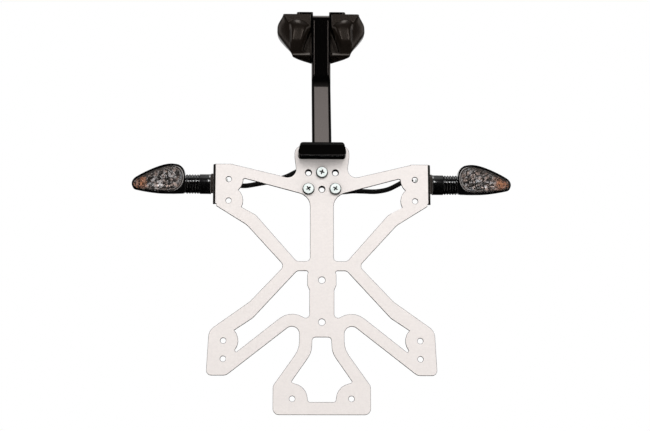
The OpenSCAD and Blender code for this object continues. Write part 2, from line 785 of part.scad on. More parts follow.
module bracket_screws() {
    color("silver") at_bracket() for (p = screw_places) translate([p[0], 0, p[1]]) rotate([-90, 0, 0])
        difference() {
            union() {
                cylinder(d = screw_d, h = screw_l);
                rotate_extrude() polygon(rounded([[0, 0, 0], [screw_head_d / 2, 0, 0],
                    [screw_head_d / 2, -screw_head_h * 0.55, 1.4], [screw_head_d / 4, -screw_head_h, 4],
                    [0, -screw_head_h, 0]]));
            }
            for (a = [0, 90]) rotate([0, 0, a]) translate([-2.9, -0.55, -screw_head_h - cut])
                cube([5.8, 1.1, 2.4 + cut]);
        }
}

module bracket_washers() {
    color("silver") at_bracket() for (p = screw_places) difference() {
        rod_y(p[0], p[1], screw_head_d, plate_t + arm_t, plate_t + arm_t + washer_t);
        rod_y(p[0], p[1], screw_d + bolt_gap, plate_t, plate_t + arm_t + washer_t + cut);
    }
}

module bracket_nuts() {
    color("silver") at_bracket() for (p = screw_places)
        translate([p[0], plate_t + arm_t + washer_t, p[1]]) rotate([90, 0, 0]) lock_nut_below(screw_d, nut_af, 6);
}

// Indicators

// distances along the stem's axis, from the middle of the bike outwards
pad_x = ear_x;
base_x = pad_x + pad_t;
neck_x = base_x + stem_base_l;
body_x = neck_x + neck_l;
stretch = housing_l / 54;
rim_y = stem_y - stem_d / 2;

// outline of the housing and of the lens, as distance from the neck and height over the stem's axis
body_points = [[0, 3], [0, -4], [0.6, -9.4], [8, -10.2], [16, -10.3], [26.5, -10], [36.7, -8.8], [46.7, -7],
    [51.8, -5.3], [54, 0], [52, 4.9], [46.7, 8.6], [36.7, 13.9], [26.5, 18.1], [18.5, 20.4], [11.5, 20.9],
    [5.3, 19.2], [1, 13.5]];
lens_points = [[1.3, 7.5], [2.3, 2], [5, -3.2], [10, -6.6], [16.5, -7.9], [26.5, -7.6], [36.7, -6.4],
    [46, -4.9], [50.2, -3.4], [51.8, 0.2], [50.3, 3.3], [46, 6.5], [36.4, 11.7], [26, 15.9], [18, 18.1],
    [11.5, 18.7], [6.2, 17.3], [2.6, 13.3]];
body_curve = [for (p = smooth([for (p = body_points) [p[0] * stretch, p[1]]], 2)) [max(p[0], 0), p[1]]];
lens_curve = smooth([for (p = lens_points) [p[0] * stretch, p[1]]], 2);
lens_middle = [20 * stretch, 5];
rim_land = 1.2;

// a curve drawn at depth y, scaled about a point and moved to the indicator's place
function ring_at(curve, centre, scale, y) =
    [for (p = curve) let (q = centre + scale * (p - centre)) [body_x + q[0], rim_y + y, stem_z + q[1]]];

function reversed(list) = [for (i = [len(list) - 1:-1:0]) list[i]];

// rings of the housing, from the back's crown out to the rim and back inside
back_shape = [[0.3, 1], [0.55, 0.96], [0.8, 0.85], [0.92, 0.75], [0.985, 0.6], [1, 0.35], [1, 0]];
module housing() {
    inner_curve = inset(body_curve, housing_wall);
    inner_end = [housing_wall, 0];
    outer = [for (s = back_shape) ring_at(body_curve, [0, 0], s[0], s[1] * housing_d)];
    inside = [for (s = [[1, 0.3], [0.985, 0.52], [0.92, 0.67], [0.8, 0.75], [0.5, 0.86]])
        ring_at(inner_curve, inner_end, s[0], s[1] * housing_d)];
    rim = [ring_at(inset(lens_curve, rim_land), [0, 0], 1, 0), ring_at(inset(lens_curve, rim_land), [0, 0], 1, 2)];
    color("black") at_bracket() difference() {
        skin(concat(outer, rim, inside));
        rod_x(stem_y, stem_z, lead_d + bolt_gap, body_x - cut, body_x + housing_wall + 2);
    }
}

lens_shape = [[0.25, 1], [0.5, 0.95], [0.72, 0.82], [0.87, 0.6], [0.96, 0.34], [1, 0.1]];
module lens() {
    outer = [for (s = reversed(lens_shape)) ring_at(lens_curve, lens_middle, s[0], -s[1] * lens_crown)];
    inner_curve = inset(lens_curve, lens_wall);
    inside = [for (s = lens_shape) ring_at(inner_curve, lens_middle, s[0], lens_wall - s[1] * lens_crown)];
    flat = [ring_at(inner_curve, lens_middle, 1, 0), ring_at(lens_curve, lens_middle, 1, 0)];
    color("gray", 0.5) at_bracket()
        skin(concat([for (i = [0:4]) inside[i]], flat, outer));
}

bulb_x = body_x + 42.5 * stretch;
bulb_z = stem_z + 1.3;
bulb_d = 7.2;
holder_wall = 1.2;

dish_shape = [[1, 0], [0.97, 0.3], [0.88, 0.62], [0.7, 0.86], [0.4, 1]];
module reflector() {
    dish_depth = 6.2;
    dish_t = 1;
    edge = inset(lens_curve, rim_land + 0.3);
    seat = 0.2;
    front = [for (s = reversed(dish_shape)) ring_at(inset(edge, dish_t), lens_middle, s[0], seat + s[1] * dish_depth)];
    behind = [for (s = dish_shape)
        ring_at(edge, lens_middle, s[0], seat + dish_t * ease(min(1, s[1] * 2)) + s[1] * dish_depth)];
    color("silver") at_bracket() difference() {
        skin(reversed(concat(front, behind)));
        rod_y(bulb_x, bulb_z, bulb_d + 0.8, rim_y, rim_y + 12);
    }
}

module bulb() {
    color("orange") at_bracket() translate([bulb_x, rim_y, bulb_z]) rotate([-90, 0, 0]) rotate_extrude()
        polygon(rounded([[0, -3.2, 0], [bulb_d / 2, -3.2, bulb_d / 2 - 0.2], [bulb_d / 2, 4.6, 0.8],
            [bulb_d / 2 - 0.6, 6, 0.4], [bulb_d / 2 - 0.6, 9.6, 0], [0, 9.6, 0]]));
}

module bulb_holder() {
    color("dimgray") at_bracket() difference() {
        rod_y(bulb_x, bulb_z, bulb_d + 2 * holder_wall, rim_y + 7, rim_y + 12);
        rod_y(bulb_x, bulb_z, bulb_d - 1.2 + slide_gap, rim_y + 6, rim_y + 9.6);
    }
}

// ribbed neck, turned about the stem's axis
module neck() {
    pitch = neck_l / neck_ribs;
    groove = 0.9;
    ribs = [for (k = [0:neck_ribs - 1]) each [
        [stem_d / 2 - groove, k * pitch],
        [stem_d / 2, (k + 0.3) * pitch],
        [stem_d / 2, (k + 0.7) * pitch],
        [stem_d / 2 - groove, (k + 1) * pitch]]];
    color("black") at_bracket() translate([neck_x, stem_y, stem_z]) rotate([0, 90, 0]) rotate_extrude()
        polygon(concat([[stud_bore / 2, 0]], ribs, [[stud_bore / 2, neck_l]]));
}

stud_in = 11.5;
stud_grip = stem_base_l - 2;

module stem_base() {
    color("black") at_bracket() difference() {
        translate([base_x, stem_y, stem_z]) rotate([0, 90, 0]) rotate_extrude()
            polygon(rounded([[0, 0, 0], [stem_d / 2 + 0.3, 0, 0.6], [stem_d / 2, stem_base_l, 0.8], [0, stem_base_l, 0]]));
        rod_x(stem_y, stem_z, stud_bore, base_x - cut, neck_x + cut);
        rod_x(stem_y, stem_z, stud_d + slide_gap, base_x - cut, base_x + stud_grip);
    }
}

module ring_x(outer_d, inner_d, x0, x1) {
    difference() {
        rod_x(stem_y, stem_z, outer_d, x0, x1);
        rod_x(stem_y, stem_z, inner_d, x0 - cut, x1 + cut);
    }
}

module pad() {
    color("saddlebrown") at_bracket() ring_x(stem_d + 1, stud_d + bolt_gap, pad_x, base_x);
}

module stud() {
    color("silver") at_bracket() ring_x(stud_d, stud_bore, ear_x - plate_t - stud_in, base_x + stud_grip - 0.3);
}

module washer() {
    color("silver") at_bracket()
        ring_x(stud_d * 2, stud_d + bolt_gap, ear_x - plate_t - 1.6, ear_x - plate_t);
}

module stud_nut() {
    color("silver") at_bracket() difference() {
        translate([ear_x - plate_t - 1.6 - 6, stem_y, stem_z]) rotate([0, 90, 0]) hexagon(stud_d * 1.6, 6);
        rod_x(stem_y, stem_z, stud_d + slide_gap, ear_x - 20, ear_x);
    }
}

// Leads

// socket held in the wall of the cover behind the arm, where the three leads end
module lead_socket() {
    gap = 0.2;
    color("black") union() {
        translate([gap - socket_w / 2, recess_floor, socket_z + gap - socket_h / 2])
            cube([socket_w - 2 * gap, cover_wall + 13, socket_h - 2 * gap]);
        translate([-socket_w / 2 - 2.5, recess_floor + cover_wall, socket_z - socket_h / 2 - 2.5])
            cube([socket_w + 5, 1.6, socket_h + 5]);
    }
}

// routes by hand, in the whole part's own frame
lead_pitch = 4.7;
down_the_arm = [[recess_floor, -26], [-18.3, -26], [-20.4, -26.5], [-22.4, -28.6], [-23.5, -32], [-23.5, -48],
    [-23.7, -66], [-26.6, -84], [-34, -98.6], [-50, -126.2], [-64, -150.4]];
stud_y = bracket_y + stem_y;
stud_z = bracket_z + stem_z;
lead_end = bulb_x - bulb_d / 2 - holder_wall;
wire_y = bracket_y - 3.5;
wire_z = bracket_z + lamp_lead_z;

// from a stud through stem and neck to the bulb holder
function to_bulb(side) = [[side * 96, stud_y, stud_z], [side * (body_x + 4), stud_y, stud_z],
    [side * (body_x + 12), stud_y + 2.6, stud_z], [side * (body_x + 24), stud_y + 2.6, stud_z + 0.8],
    [side * (lead_end - 4), stud_y, stud_z + 1.3], [side * lead_end, stud_y, stud_z + 1.3]];

left_route = concat(
    [for (p = down_the_arm) [-lead_pitch, p[0], p[1]]],
    [[-4.8, -66.6, -157], [-5.3, -67, -164], [-8, -66, -170], [-13, -64, -175], [-20, -62.3, -179],
    [-27, -62, -182.4], [-36, -62, -187], [-50, -62, -191.5], [-64, -62, -194.5], [-78, -61.5, -196.6],
    [-88, -61.2, -195.4]],
    to_bulb(-1));

right_route = concat(
    [for (p = down_the_arm) [lead_pitch, p[0], p[1]]],
    [[4.7, -65, -154], [5, -63, -164], [6.5, -62, -178], [9.5, -61.5, -192], [13, -61.5, -201], [18, -61.5, -205],
    [24, -61.5, -204.6], [32, -61.5, -202.4], [43, -61.5, -202], [55, -61.5, -202], [68, -61.5, -200],
    [80, -61.3, -197], [88, -61.2, -195]],
    to_bulb(1));

lamp_route = concat(
    [for (p = down_the_arm) [0, p[0], p[1]]],
    [[0, -67.5, -157], [0, -68.2, -162.4], [0, -70, -166], [0, -73, wire_z], [0, wire_y, wire_z],
    [0, wire_y - 1.5, wire_z + 0.8], [0, wire_y - 3.5, wire_z + 1]]);

// a round tube along a route, with a ring at every point
module lead(route) {
    sides = 8;
    n = len(route);
    rings = [for (i = [0:n - 1]) let (
        along = unit(route[min(i + 1, n - 1)] - route[max(i - 1, 0)]),
        aside = unit(cross(along, abs(along[0]) > 0.9 ? [0, 1, 0] : [1, 0, 0])),
        up = cross(along, aside))
        [for (k = [0:sides - 1]) let (a = 360 * k / sides)
            route[i] + lead_d / 2 * (cos(a) * aside + sin(a) * up)]];
    color("black") skin(reversed(rings));
}

plate_bracket();
arm();
mounting_plate();
tail_cover();
arm_bolts();
arm_nuts();
cover_screws();
cover_nuts();
lamp_housing();
lamp_lens();
lamp_board();
lamp_emitters();
lamp_screws();
lamp_grommet();
bracket_screws();
bracket_washers();
bracket_nuts();
on_side(-1) housing();  // left_housing
on_side(1) housing();  // right_housing
on_side(-1) lens();  // left_lens
on_side(1) lens();  // right_lens
on_side(-1) reflector();  // left_reflector
on_side(1) reflector();  // right_reflector
on_side(-1) bulb();  // left_bulb
on_side(1) bulb();  // right_bulb
on_side(-1) bulb_holder();  // left_bulb_holder
on_side(1) bulb_holder();  // right_bulb_holder
on_side(-1) neck();  // left_neck
on_side(1) neck();  // right_neck
on_side(-1) stem_base();  // left_stem_base
on_side(1) stem_base();  // right_stem_base
on_side(-1) pad();  // left_pad
on_side(1) pad();  // right_pad
on_side(-1) stud();  // left_stud
on_side(1) stud();  // right_stud
on_side(-1) washer();  // left_washer
on_side(1) washer();  // right_washer
on_side(-1) stud_nut();  // left_stud_nut
on_side(1) stud_nut();  // right_stud_nut
lead_socket();
lead(left_route);  // left_lead
lead(right_route);  // right_lead
lead(lamp_route);  // lamp_lead
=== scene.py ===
"""Tail tidy: the looks of a motorbike's number plate bracket, arm, cover, lamp and indicators."""

import math
from contextlib import contextmanager

import bmesh
import bpy
import numpy as np
from bpy.props import BoolProperty, FloatProperty, FloatVectorProperty, IntProperty, PointerProperty
from mathutils import Matrix, Vector


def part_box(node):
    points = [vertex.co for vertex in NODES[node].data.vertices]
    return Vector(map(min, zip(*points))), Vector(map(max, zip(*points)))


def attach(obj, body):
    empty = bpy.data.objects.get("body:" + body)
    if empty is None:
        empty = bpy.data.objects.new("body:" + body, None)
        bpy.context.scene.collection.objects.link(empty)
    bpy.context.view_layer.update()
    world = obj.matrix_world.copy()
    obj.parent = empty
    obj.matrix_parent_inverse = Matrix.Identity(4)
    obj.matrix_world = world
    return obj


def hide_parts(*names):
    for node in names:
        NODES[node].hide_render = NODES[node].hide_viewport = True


bl_info = {
    "name": "Tail tidy",
    "version": (1, 0, 0),
    "blender": (4, 5, 0),
    "location": "View3D > Sidebar > Tail tidy",
    "description": "Dresses the packed tail tidy with detailed pieces and procedural finishes",
    "category": "Object",
}

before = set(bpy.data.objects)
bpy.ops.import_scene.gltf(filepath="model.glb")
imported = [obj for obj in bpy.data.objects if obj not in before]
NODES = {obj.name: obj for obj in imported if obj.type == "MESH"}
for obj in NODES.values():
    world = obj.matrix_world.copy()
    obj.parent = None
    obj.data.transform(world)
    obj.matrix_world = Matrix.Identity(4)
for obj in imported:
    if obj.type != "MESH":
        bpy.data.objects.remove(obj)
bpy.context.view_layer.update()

MM = 0.001
SIDES = {"left": -1, "right": 1}
BRACKET_LOW, BRACKET_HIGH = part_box("plate_bracket")
BRACKET_Y = BRACKET_LOW.y
SETTING_OUT_Z = -0.231
EAR_FACE = 0.1093
EAR_LOW = SETTING_OUT_Z + 0.009
FOLD_REACH = 0.0036
AMBIENT = 0.5


# Node trees


class Term:
    """One value in a node tree; the usual operators on it add their Math nodes."""

    def __init__(self, tree, socket):
        self.tree = tree
        self.socket = socket

    def math(self, operation, *others):
        return self.tree.math(operation, self, *others)

    def __add__(self, other):
        return self.math("ADD", other)

    def __sub__(self, other):
        return self.math("SUBTRACT", other)

    def __rsub__(self, other):
        return self.tree.math("SUBTRACT", other, self)

    def __mul__(self, other):
        return self.math("MULTIPLY", other)

    def __pow__(self, other):
        return self.math("POWER", other)

    __radd__ = __add__
    __rmul__ = __mul__

    def ramp(self, low, high, start=0.0, end=1.0):
        """This value, moved smoothly from start at low to end at high."""
        inputs = {0: self, 1: low, 2: high, 3: start, 4: end}
        return self.tree.node("ShaderNodeMapRange", {"interpolation_type": "SMOOTHSTEP"}, inputs)


class Tree:
    """A node tree that is written as calls and expressions."""

    def __init__(self, tree):
        self.tree = tree

    def node(self, kind, settings=None, inputs=None, output=0):
        """Adds a node: its settings first, then the values or links of its sockets."""
        made = self.tree.nodes.new(kind)
        for key, value in (settings or {}).items():
            setattr(made, key, value)
        for key, value in (inputs or {}).items():
            self.plug(made.inputs[key], value)
        return Term(self, made.outputs[output]) if len(made.outputs) else made

    def plug(self, socket, value):
        """Links a value to a socket or writes it there; a colour may be given without its alpha."""
        if isinstance(value, Term):
            self.tree.links.new(value.socket, socket)
        elif socket.type == "RGBA":
            socket.default_value = (*value, 1.0)
        else:
            socket.default_value = value

    def math(self, operation, *values):
        return self.node("ShaderNodeMath", {"operation": operation}, dict(enumerate(values)))


class Finish(Tree):
    """One procedural material."""

    def __init__(self, name):
        self.material = bpy.data.materials.new(name)
        self.material.use_nodes = True
        super().__init__(self.material.node_tree)
        self.tree.nodes.clear()
        self.place = self.node("ShaderNodeTexCoord", output="Object")

    def stretched(self, scale):
        return self.node("ShaderNodeMapping", {}, {0: self.place, 3: scale})

    def along_x(self):
        """Distance from the part's middle plane."""
        return self.node("ShaderNodeSeparateXYZ", {}, {0: self.place}).math("ABSOLUTE")

    def written(self, name):
        """What the mesh carries in its attribute of this name."""
        return self.node("ShaderNodeAttribute", {"attribute_name": name}, output="Fac")

    def noise(self, scale, detail, rough=0.5, place=None):
        inputs = {"Vector": place or self.place, "Scale": scale, "Detail": detail, "Roughness": rough}
        return self.node("ShaderNodeTexNoise", {}, inputs)

    def cells(self, scale):
        """A value that is the same all over each small cell."""
        values = {"Vector": self.place, "Scale": scale}
        colour = self.node("ShaderNodeTexVoronoi", {}, values, output="Color")
        return self.node("ShaderNodeSeparateColor", {}, {0: colour})

    def mix(self, factor, first, second, blend="MIX"):
        settings = {"data_type": "RGBA", "blend_type": blend}
        return self.node("ShaderNodeMix", settings, {0: factor, 6: first, 7: second}, output=2)

    def shade(self, colour, amount):
        """A colour made lighter or darker by a value round 1."""
        grey = self.node("ShaderNodeCombineColor", {}, {0: amount, 1: amount, 2: amount})
        return self.mix(1.0, colour, grey, "MULTIPLY")

    def bump(self, height, depth, strength):
        inputs = {"Height": height, "Distance": depth, "Strength": strength}
        return self.node("ShaderNodeBump", {}, inputs)

    def facing(self, blend):
        return self.node("ShaderNodeLayerWeight", {}, {"Blend": blend}, output="Facing")

    def coated(self, inputs):
        shader = self.node("ShaderNodeBsdfPrincipled", {}, inputs)
        self.node("ShaderNodeOutputMaterial", {}, {"Surface": shader})
        return self.material


def lighter(colour, times):
    return tuple(value * times for value in colour)


# Finishes


def blasted_steel(tint):
    """Stainless sheet with a fine blasted face and faint rolling marks; its cut edges and the outsides of its
    folded ears are painted near black as painted shade and painted dark reflection.
    """
    f = Finish("blasted_steel")
    # painted shade: the marked cut edges and folded ear outsides are painted near black, standing for shade
    # and the dark room they reflect
    cut = f.written("painted_edge_shade")
    cloud = f.noise(18, 3)
    rolled = f.noise(1, 3, place=f.stretched((90, 900, 900)))
    grit = f.noise(2600, 2)
    grain = f.noise(520, 3, 0.6)
    level = 1.0 + (cloud - 0.5) * 0.06 + (rolled - 0.5) * 0.05 + (grain - 0.5) * 0.14
    return f.coated({
        # the marked faces take the near-black painted shade
        "Base Color": f.mix(cut, f.shade(tint, level), (0.012, 0.01, 0.009)),
        "Metallic": 0.15 - cut * 0.15,
        "Roughness": 0.46 + (cloud - 0.5) * 0.12 + (grit - 0.5) * 0.1 + cut * 0.15,
        "Normal": f.bump(grit, 0.00003, 0.5),
        "Specular IOR Level": 0.15,
    })


def powder_coat(name, tint, gloss):
    """Satin black powder coat with its fine orange peel."""
    f = Finish(name)
    peel = f.noise(700, 2)
    dust = f.noise(120, 4).ramp(0.55, 0.75)
    return f.coated({
        "Base Color": f.mix(dust * 0.2, tint, lighter(tint, 1.9)),
        "Roughness": gloss + (peel - 0.5) * 0.06,
        "Normal": f.bump(peel, 0.00004, 0.2),
        "Specular IOR Level": 0.5,
        "Specular Tint": (1, 0.86, 0.8),
    })


def moulded(name, tint, rough, grain, specular=0.4):
    """Black moulding with a fine spark-eroded grain."""
    f = Finish(name)
    pits = f.noise(grain, 2)
    worn = f.noise(60, 3)
    return f.coated({
        "Base Color": f.shade(tint, 0.85 + worn * 0.3),
        "Roughness": rough + (worn - 0.5) * 0.12,
        "Normal": f.bump(pits, 0.00004, 0.15),
        "Specular IOR Level": specular,
        "Specular Tint": (1, 0.85, 0.74),
    })


def gloss_shell():
    """Gloss black shell of the indicators."""
    f = Finish("gloss_shell")
    ripple = f.noise(160, 2)
    return f.coated({
        "Base Color": f.shade((0.002, 0.002, 0.002), 0.8 + ripple * 0.4),
        "Roughness": 0.16 + ripple * 0.06,
        "Normal": f.bump(ripple, 0.0001, 0.15),
        "Coat Weight": 0.4,
    })


def zinc_plate():
    """Clear zinc plating with its faint greenish passivation; the sides of the heads and the cross recesses
    are painted dark, as painted shade and painted dark reflection.
    """
    f = Finish("zinc_plate")
    # side marks the heads' sides and recesses, which are painted dark as painted shade and painted dark
    # reflection
    side = f.written("side")
    bloom = f.noise(260, 3)
    turned = f.noise(2400, 2)
    colour = f.mix(bloom.ramp(0.4, 0.65), (0.84, 0.93, 0.9), (0.96, 0.99, 0.97))
    return f.coated({
        # painted shade: dark colour where side is marked
        "Base Color": f.mix(side, colour, (0.03, 0.036, 0.034)),
        "Metallic": 0.06 + side * 0.5,
        "Roughness": 0.3 + bloom * 0.12,
        "Normal": f.bump(turned, 0.00002, 0.4),
    })


def soft_rubber(name, tint, rough=0.42, sheen=0.0, sheen_rough=0.2):
    """Black rubber with a slight bloom, and a sheen where it is moulded smooth."""
    f = Finish(name)
    bloom = f.noise(220, 3)
    return f.coated({
        "Base Color": f.mix(bloom.ramp(0.5, 0.8, 0, 0.4), tint, lighter(tint, 2.2)),
        "Roughness": rough + (bloom - 0.5) * 0.16,
        "Normal": f.bump(f.noise(1400, 2), 0.00004, 0.4),
        "Specular IOR Level": 0.45,
        "Coat Weight": sheen,
        "Coat Roughness": sheen_rough,
        "Coat IOR": 2.3,
    })


def smoked_lens(tint):
    """Smoked clear lens, see-through where it is looked at squarely, with a painted highlight line along its
    rim at the inner end.
    """
    f = Finish("smoked_lens")
    flow = f.noise(90, 2)
    edge = f.facing(0.35)
    inner_end = f.along_x().ramp(STEM_X + 0.007, STEM_X + 0.018, 1.0, 0.0)
    # painted highlight: a light line along the lens rim near the stem, also made more opaque
    line = f.written("rim").ramp(0.955, 0.972) * inner_end
    return f.coated({
        "Base Color": f.mix(line, f.shade(tint, 0.9 + flow * 0.2), (0.62, 0.58, 0.56)),
        "Roughness": 0.04 + flow * 0.03,
        "Alpha": (0.1 + edge * 0.3).math("MAXIMUM", line * 0.8),
        "Normal": f.bump(flow, 0.0002, 0.2),
        "Coat Weight": 0.6,
        "Coat Roughness": 0.03,
    })


def clear_lens():
    """Ribbed clear lens of the number plate lamp; its dark, partly opaque colour is painted shade for the
    shaded underside of the lamp.
    """
    f = Finish("clear_lens")
    ribs = f.node("ShaderNodeTexWave", {"bands_direction": "X"}, {"Vector": f.place, "Scale": 72})
    return f.coated({
        # painted shade: near-black colour and opacity on a clear lens
        "Base Color": f.shade((0.02, 0.021, 0.022), 0.85 + ribs * 0.2),
        "Roughness": 0.16 + ribs * 0.06,
        "Alpha": 0.35 + f.facing(0.3) * 0.4,
        "Normal": f.bump(ribs, 0.0003, 0.5),
        "Specular IOR Level": 0.06,
    })


def metallised():
    """Metallised reflector: small bumped facets that mirror the room a little, with painted reflections in
    its colour: bright and dark facets, a bluish glint, a glowing amber tip and a painted highlight ring at
    the inner end.
    """
    f = Finish("metallised")
    facet = f.cells(430)
    chip = f.cells(760)
    # painted reflections: each cell is painted bright or dark, standing for the part of the room that its
    # facet mirrors
    level = facet.math("MAXIMUM", chip) ** 8.5 * (1.2 + f.noise(110, 2) * 2.6)
    rim = f.written("rim")
    out = f.along_x()
    inner_end = out.ramp(STEM_X + 0.006, STEM_X + 0.022, 1.0, 0.15)
    # painted highlight: a bright ring near the dish's rim at the inner end
    ring = rim.ramp(0.88, 0.9) * rim.ramp(0.93, 0.95, 1.0, 0.0) * inner_end
    # the painted reflections fade out towards the dish's edge
    groove = rim.ramp(0.94, 0.96)
    # painted reflection of the amber bulb: the tip is painted amber and much brighter, so it glows
    tip = out.ramp(STEM_X + 0.036, STEM_X + 0.044)
    # painted reflections: a bluish glint and warm tints mixed into the colour
    cool = f.noise(75, 1).ramp(0.58, 0.68) * 0.6
    warm = f.noise(240, 1).ramp(0.4, 0.6)
    silver_and_glints = f.mix(warm, (0.9, 0.86, 0.86), (0.86, 0.66, 0.58))
    silver_and_glints = f.mix(cool, silver_and_glints, (0.45, 0.64, 0.78))
    silver_and_glints = f.mix(tip * (0.45 + facet * 0.55), silver_and_glints, (1, 0.4, 0.18))
    # painted reflections: brightness of each facet, raised at the tip and faded at the edge
    facets = 0.006 + level * (1.35 + tip * 5.0) * (1.0 - groove * 0.9)
    return f.coated({
        "Base Color": f.shade(silver_and_glints, (facets + ring * 0.75).math("MINIMUM", 1.0)),
        "Metallic": 0.25,
        "Roughness": 0.16 + chip * 0.12,
        "Normal": f.bump(facet, 0.0006, 0.8),
    })


def amber_glass():
    """Amber glass of the bulbs."""
    f = Finish("amber_glass")
    swirl = f.noise(300, 2)
    return f.coated({
        "Base Color": f.mix(swirl, (0.75, 0.27, 0.1), (0.9, 0.45, 0.25)),
        "Roughness": 0.08 + swirl * 0.05,
        "Alpha": 0.16 + f.facing(0.4) * 0.3,
        "Coat Weight": 0.3,
    })


def solder_resist():
    """Green lacquer of the lamp's board, lighter over its tracks."""
    f = Finish("solder_resist")
    tracks = f.node("ShaderNodeTexBrick", {}, {"Vector": f.place, "Scale": 400}, output="Fac")
    colour = f.mix(tracks, (0.02, 0.16, 0.06), (0.05, 0.3, 0.12))
    return f.coated({"Base Color": colour, "Roughness": 0.35 + tracks * 0.1})


def clear_resin():
    """Pale resin of the light emitters."""
    f = Finish("clear_resin")
    core = f.noise(900, 1)
    colour = f.mix(core, (0.95, 0.85, 0.35), (0.98, 0.95, 0.8))
    return f.coated({"Base Color": colour, "Roughness": 0.12 + core * 0.1, "Coat Weight": 0.4})


def woven_sleeve():
    """Black braided sleeve of the leads; the pattern follows the lead's own map."""
    f = Finish("woven_sleeve")
    uv = f.node("ShaderNodeUVMap", {"uv_map": "along"})
    mirrored = f.node("ShaderNodeMapping", {}, {0: uv, 3: (-1, 1, 1)})
    strands = [
        f.node("ShaderNodeTexWave", {"bands_direction": "DIAGONAL"}, {"Vector": way, "Scale": 5.0})
        for way in (uv, mirrored)
    ]
    weave = strands[0].math("MAXIMUM", strands[1])
    return f.coated({
        "Base Color": f.shade((0.003, 0.003, 0.003), 0.6 + weave * 0.7),
        "Roughness": 0.62 - weave * 0.12,
        "Normal": f.bump(weave, 0.0003, 0.6),
        "Specular IOR Level": 0.25,
    })


# Meshes

WELD = 2e-6
FLAT = math.radians(0.6)
SHORTEST_FOLD = 8 * MM


def linked(name, data):
    made = bpy.data.objects.new(name, data)
    bpy.context.scene.collection.objects.link(made)
    return made


@contextmanager
def edited(mesh):
    """Opens a mesh for editing and writes it back at the end."""
    bm = bmesh.new()
    bm.from_mesh(mesh)
    yield bm
    bm.to_mesh(mesh)
    bm.free()


def piece_from(name, mesh, finish, node, slot):
    """Links a mesh as a piece that stands for a CAD node."""
    mesh.materials.clear()
    mesh.materials.append(finish)
    for face in mesh.polygons:
        face.use_smooth = True
        face.material_index = 0
    piece = linked(name, mesh)
    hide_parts(node)
    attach(piece, "root")


def applied(source, mesh):
    """The mesh after the modifiers of its object, as plain data."""
    bpy.context.view_layer.update()
    made = bpy.data.meshes.new_from_object(source.evaluated_get(bpy.context.evaluated_depsgraph_get()))
    bpy.data.objects.remove(source)
    if mesh.users == 0:
        bpy.data.meshes.remove(mesh)
    return made


def merged(node):
    """A copy of a CAD node's mesh with its loose triangles joined and its flat faces whole."""
    mesh = NODES[node].data.copy()
    with edited(mesh) as bm:
        bmesh.ops.remove_doubles(bm, verts=bm.verts, dist=WELD)
        bmesh.ops.dissolve_limit(bm, angle_limit=FLAT, verts=bm.verts, edges=bm.edges)
    return mesh


def crease_folds(mesh, high):
    """Keeps the shallow folds across the arm crisp, below the rounded fold of its tongue."""
    with edited(mesh) as bm:
        for edge in bm.edges:
            along = edge.verts[1].co - edge.verts[0].co
            across = abs(along.x) > 0.99 * along.length and along.length > SHORTEST_FOLD
            if across and edge.verts[0].co.z < high and edge.calc_face_angle(0) > math.radians(4):
                edge.smooth = False
    return mesh


def eased_edges(node, width, segments=2, mesh=None, clamp=True):
    """A CAD node's mesh with its sharp edges eased, as a press or a mould leaves them."""
    mesh = mesh or merged(node)
    source = linked(node + "_source", mesh)
    bevel = source.modifiers.new("ease", "BEVEL")
    bevel.limit_method = "ANGLE"
    bevel.angle_limit = math.radians(34)
    bevel.width = width
    bevel.segments = segments
    bevel.use_clamp_overlap = clamp
    for face in mesh.polygons:
        face.use_smooth = True
    weigh = source.modifiers.new("weigh", "WEIGHTED_NORMAL")
    weigh.keep_sharp = True
    return applied(source, mesh)


def marked(mesh, name, test):
    """Writes 1 on the faces that pass a test and 0 on the others, for the finish to read."""
    layer = mesh.attributes.new(name, "FLOAT", "CORNER")
    for face in mesh.polygons:
        value = 1.0 if test(face.center, face.normal) else 0.0
        for i in face.loop_indices:
            layer.data[i].value = value


def gets_painted_edge_shade(centre, normal):
    """True on the faces that take painted edge shade: the bracket's laser-cut edges, their eased corners and
    the outside of its folded ears.
    """
    folded = abs(centre.x) > EAR_FACE - FOLD_REACH and centre.z > EAR_LOW
    if folded and centre.y > BRACKET_Y + FOLD_REACH:
        return abs(normal.x) < 0.9 or centre.y > BRACKET_HIGH.y - 0.0005
    if folded and abs(normal.z) < 0.3:
        return abs(normal.y) < 0.95 and abs(normal.x) < 0.97
    return abs(normal.y) < 0.95


def crisp(mesh, angle=30):
    """Marks the edges that stay sharp under smooth shading."""
    with edited(mesh) as bm:
        for edge in bm.edges:
            edge.smooth = len(edge.link_faces) == 2 and edge.calc_face_angle(0) < math.radians(angle)
    return mesh


def ring_mesh(name, rings, closed_ends=True):
    """A skin through rings of points, with its faces outwards."""
    count = len(rings[0])
    points = [tuple(p) for ring in rings for p in ring]
    faces = []
    for i in range(len(rings) - 1):
        for j in range(count):
            a, b = i * count + j, i * count + (j + 1) % count
            faces.append((a, b, b + count, a + count))
    if closed_ends:
        faces.append(tuple(range(count - 1, -1, -1)))
        faces.append(tuple(range((len(rings) - 1) * count, len(rings) * count)))
    mesh = bpy.data.meshes.new(name)
    mesh.from_pydata(points, [], faces)
    with edited(mesh) as bm:
        bmesh.ops.recalc_face_normals(bm, faces=bm.faces)
    return mesh


def curve_through(points, steps, closed=True):
    """A smooth curve through points, with steps pieces between each two."""
    p = np.array(points, float)
    n = len(p)
    spans = range(n) if closed else range(n - 1)

    def at(i):
        return p[i % n] if closed else p[min(max(i, 0), n - 1)]

    out = []
    for i in spans:
        a, b, c, d = at(i - 1), at(i), at(i + 1), at(i + 2)
        for k in range(steps):
            t = k / steps
            out.append(
                b
                + t / 2 * (c - a)
                + t * t / 2 * (2 * a - 5 * b + 4 * c - d)
                + t**3 / 2 * (3 * b - a - 3 * c + d)
            )
    if not closed:
        out.append(p[-1])
    return np.array(out)


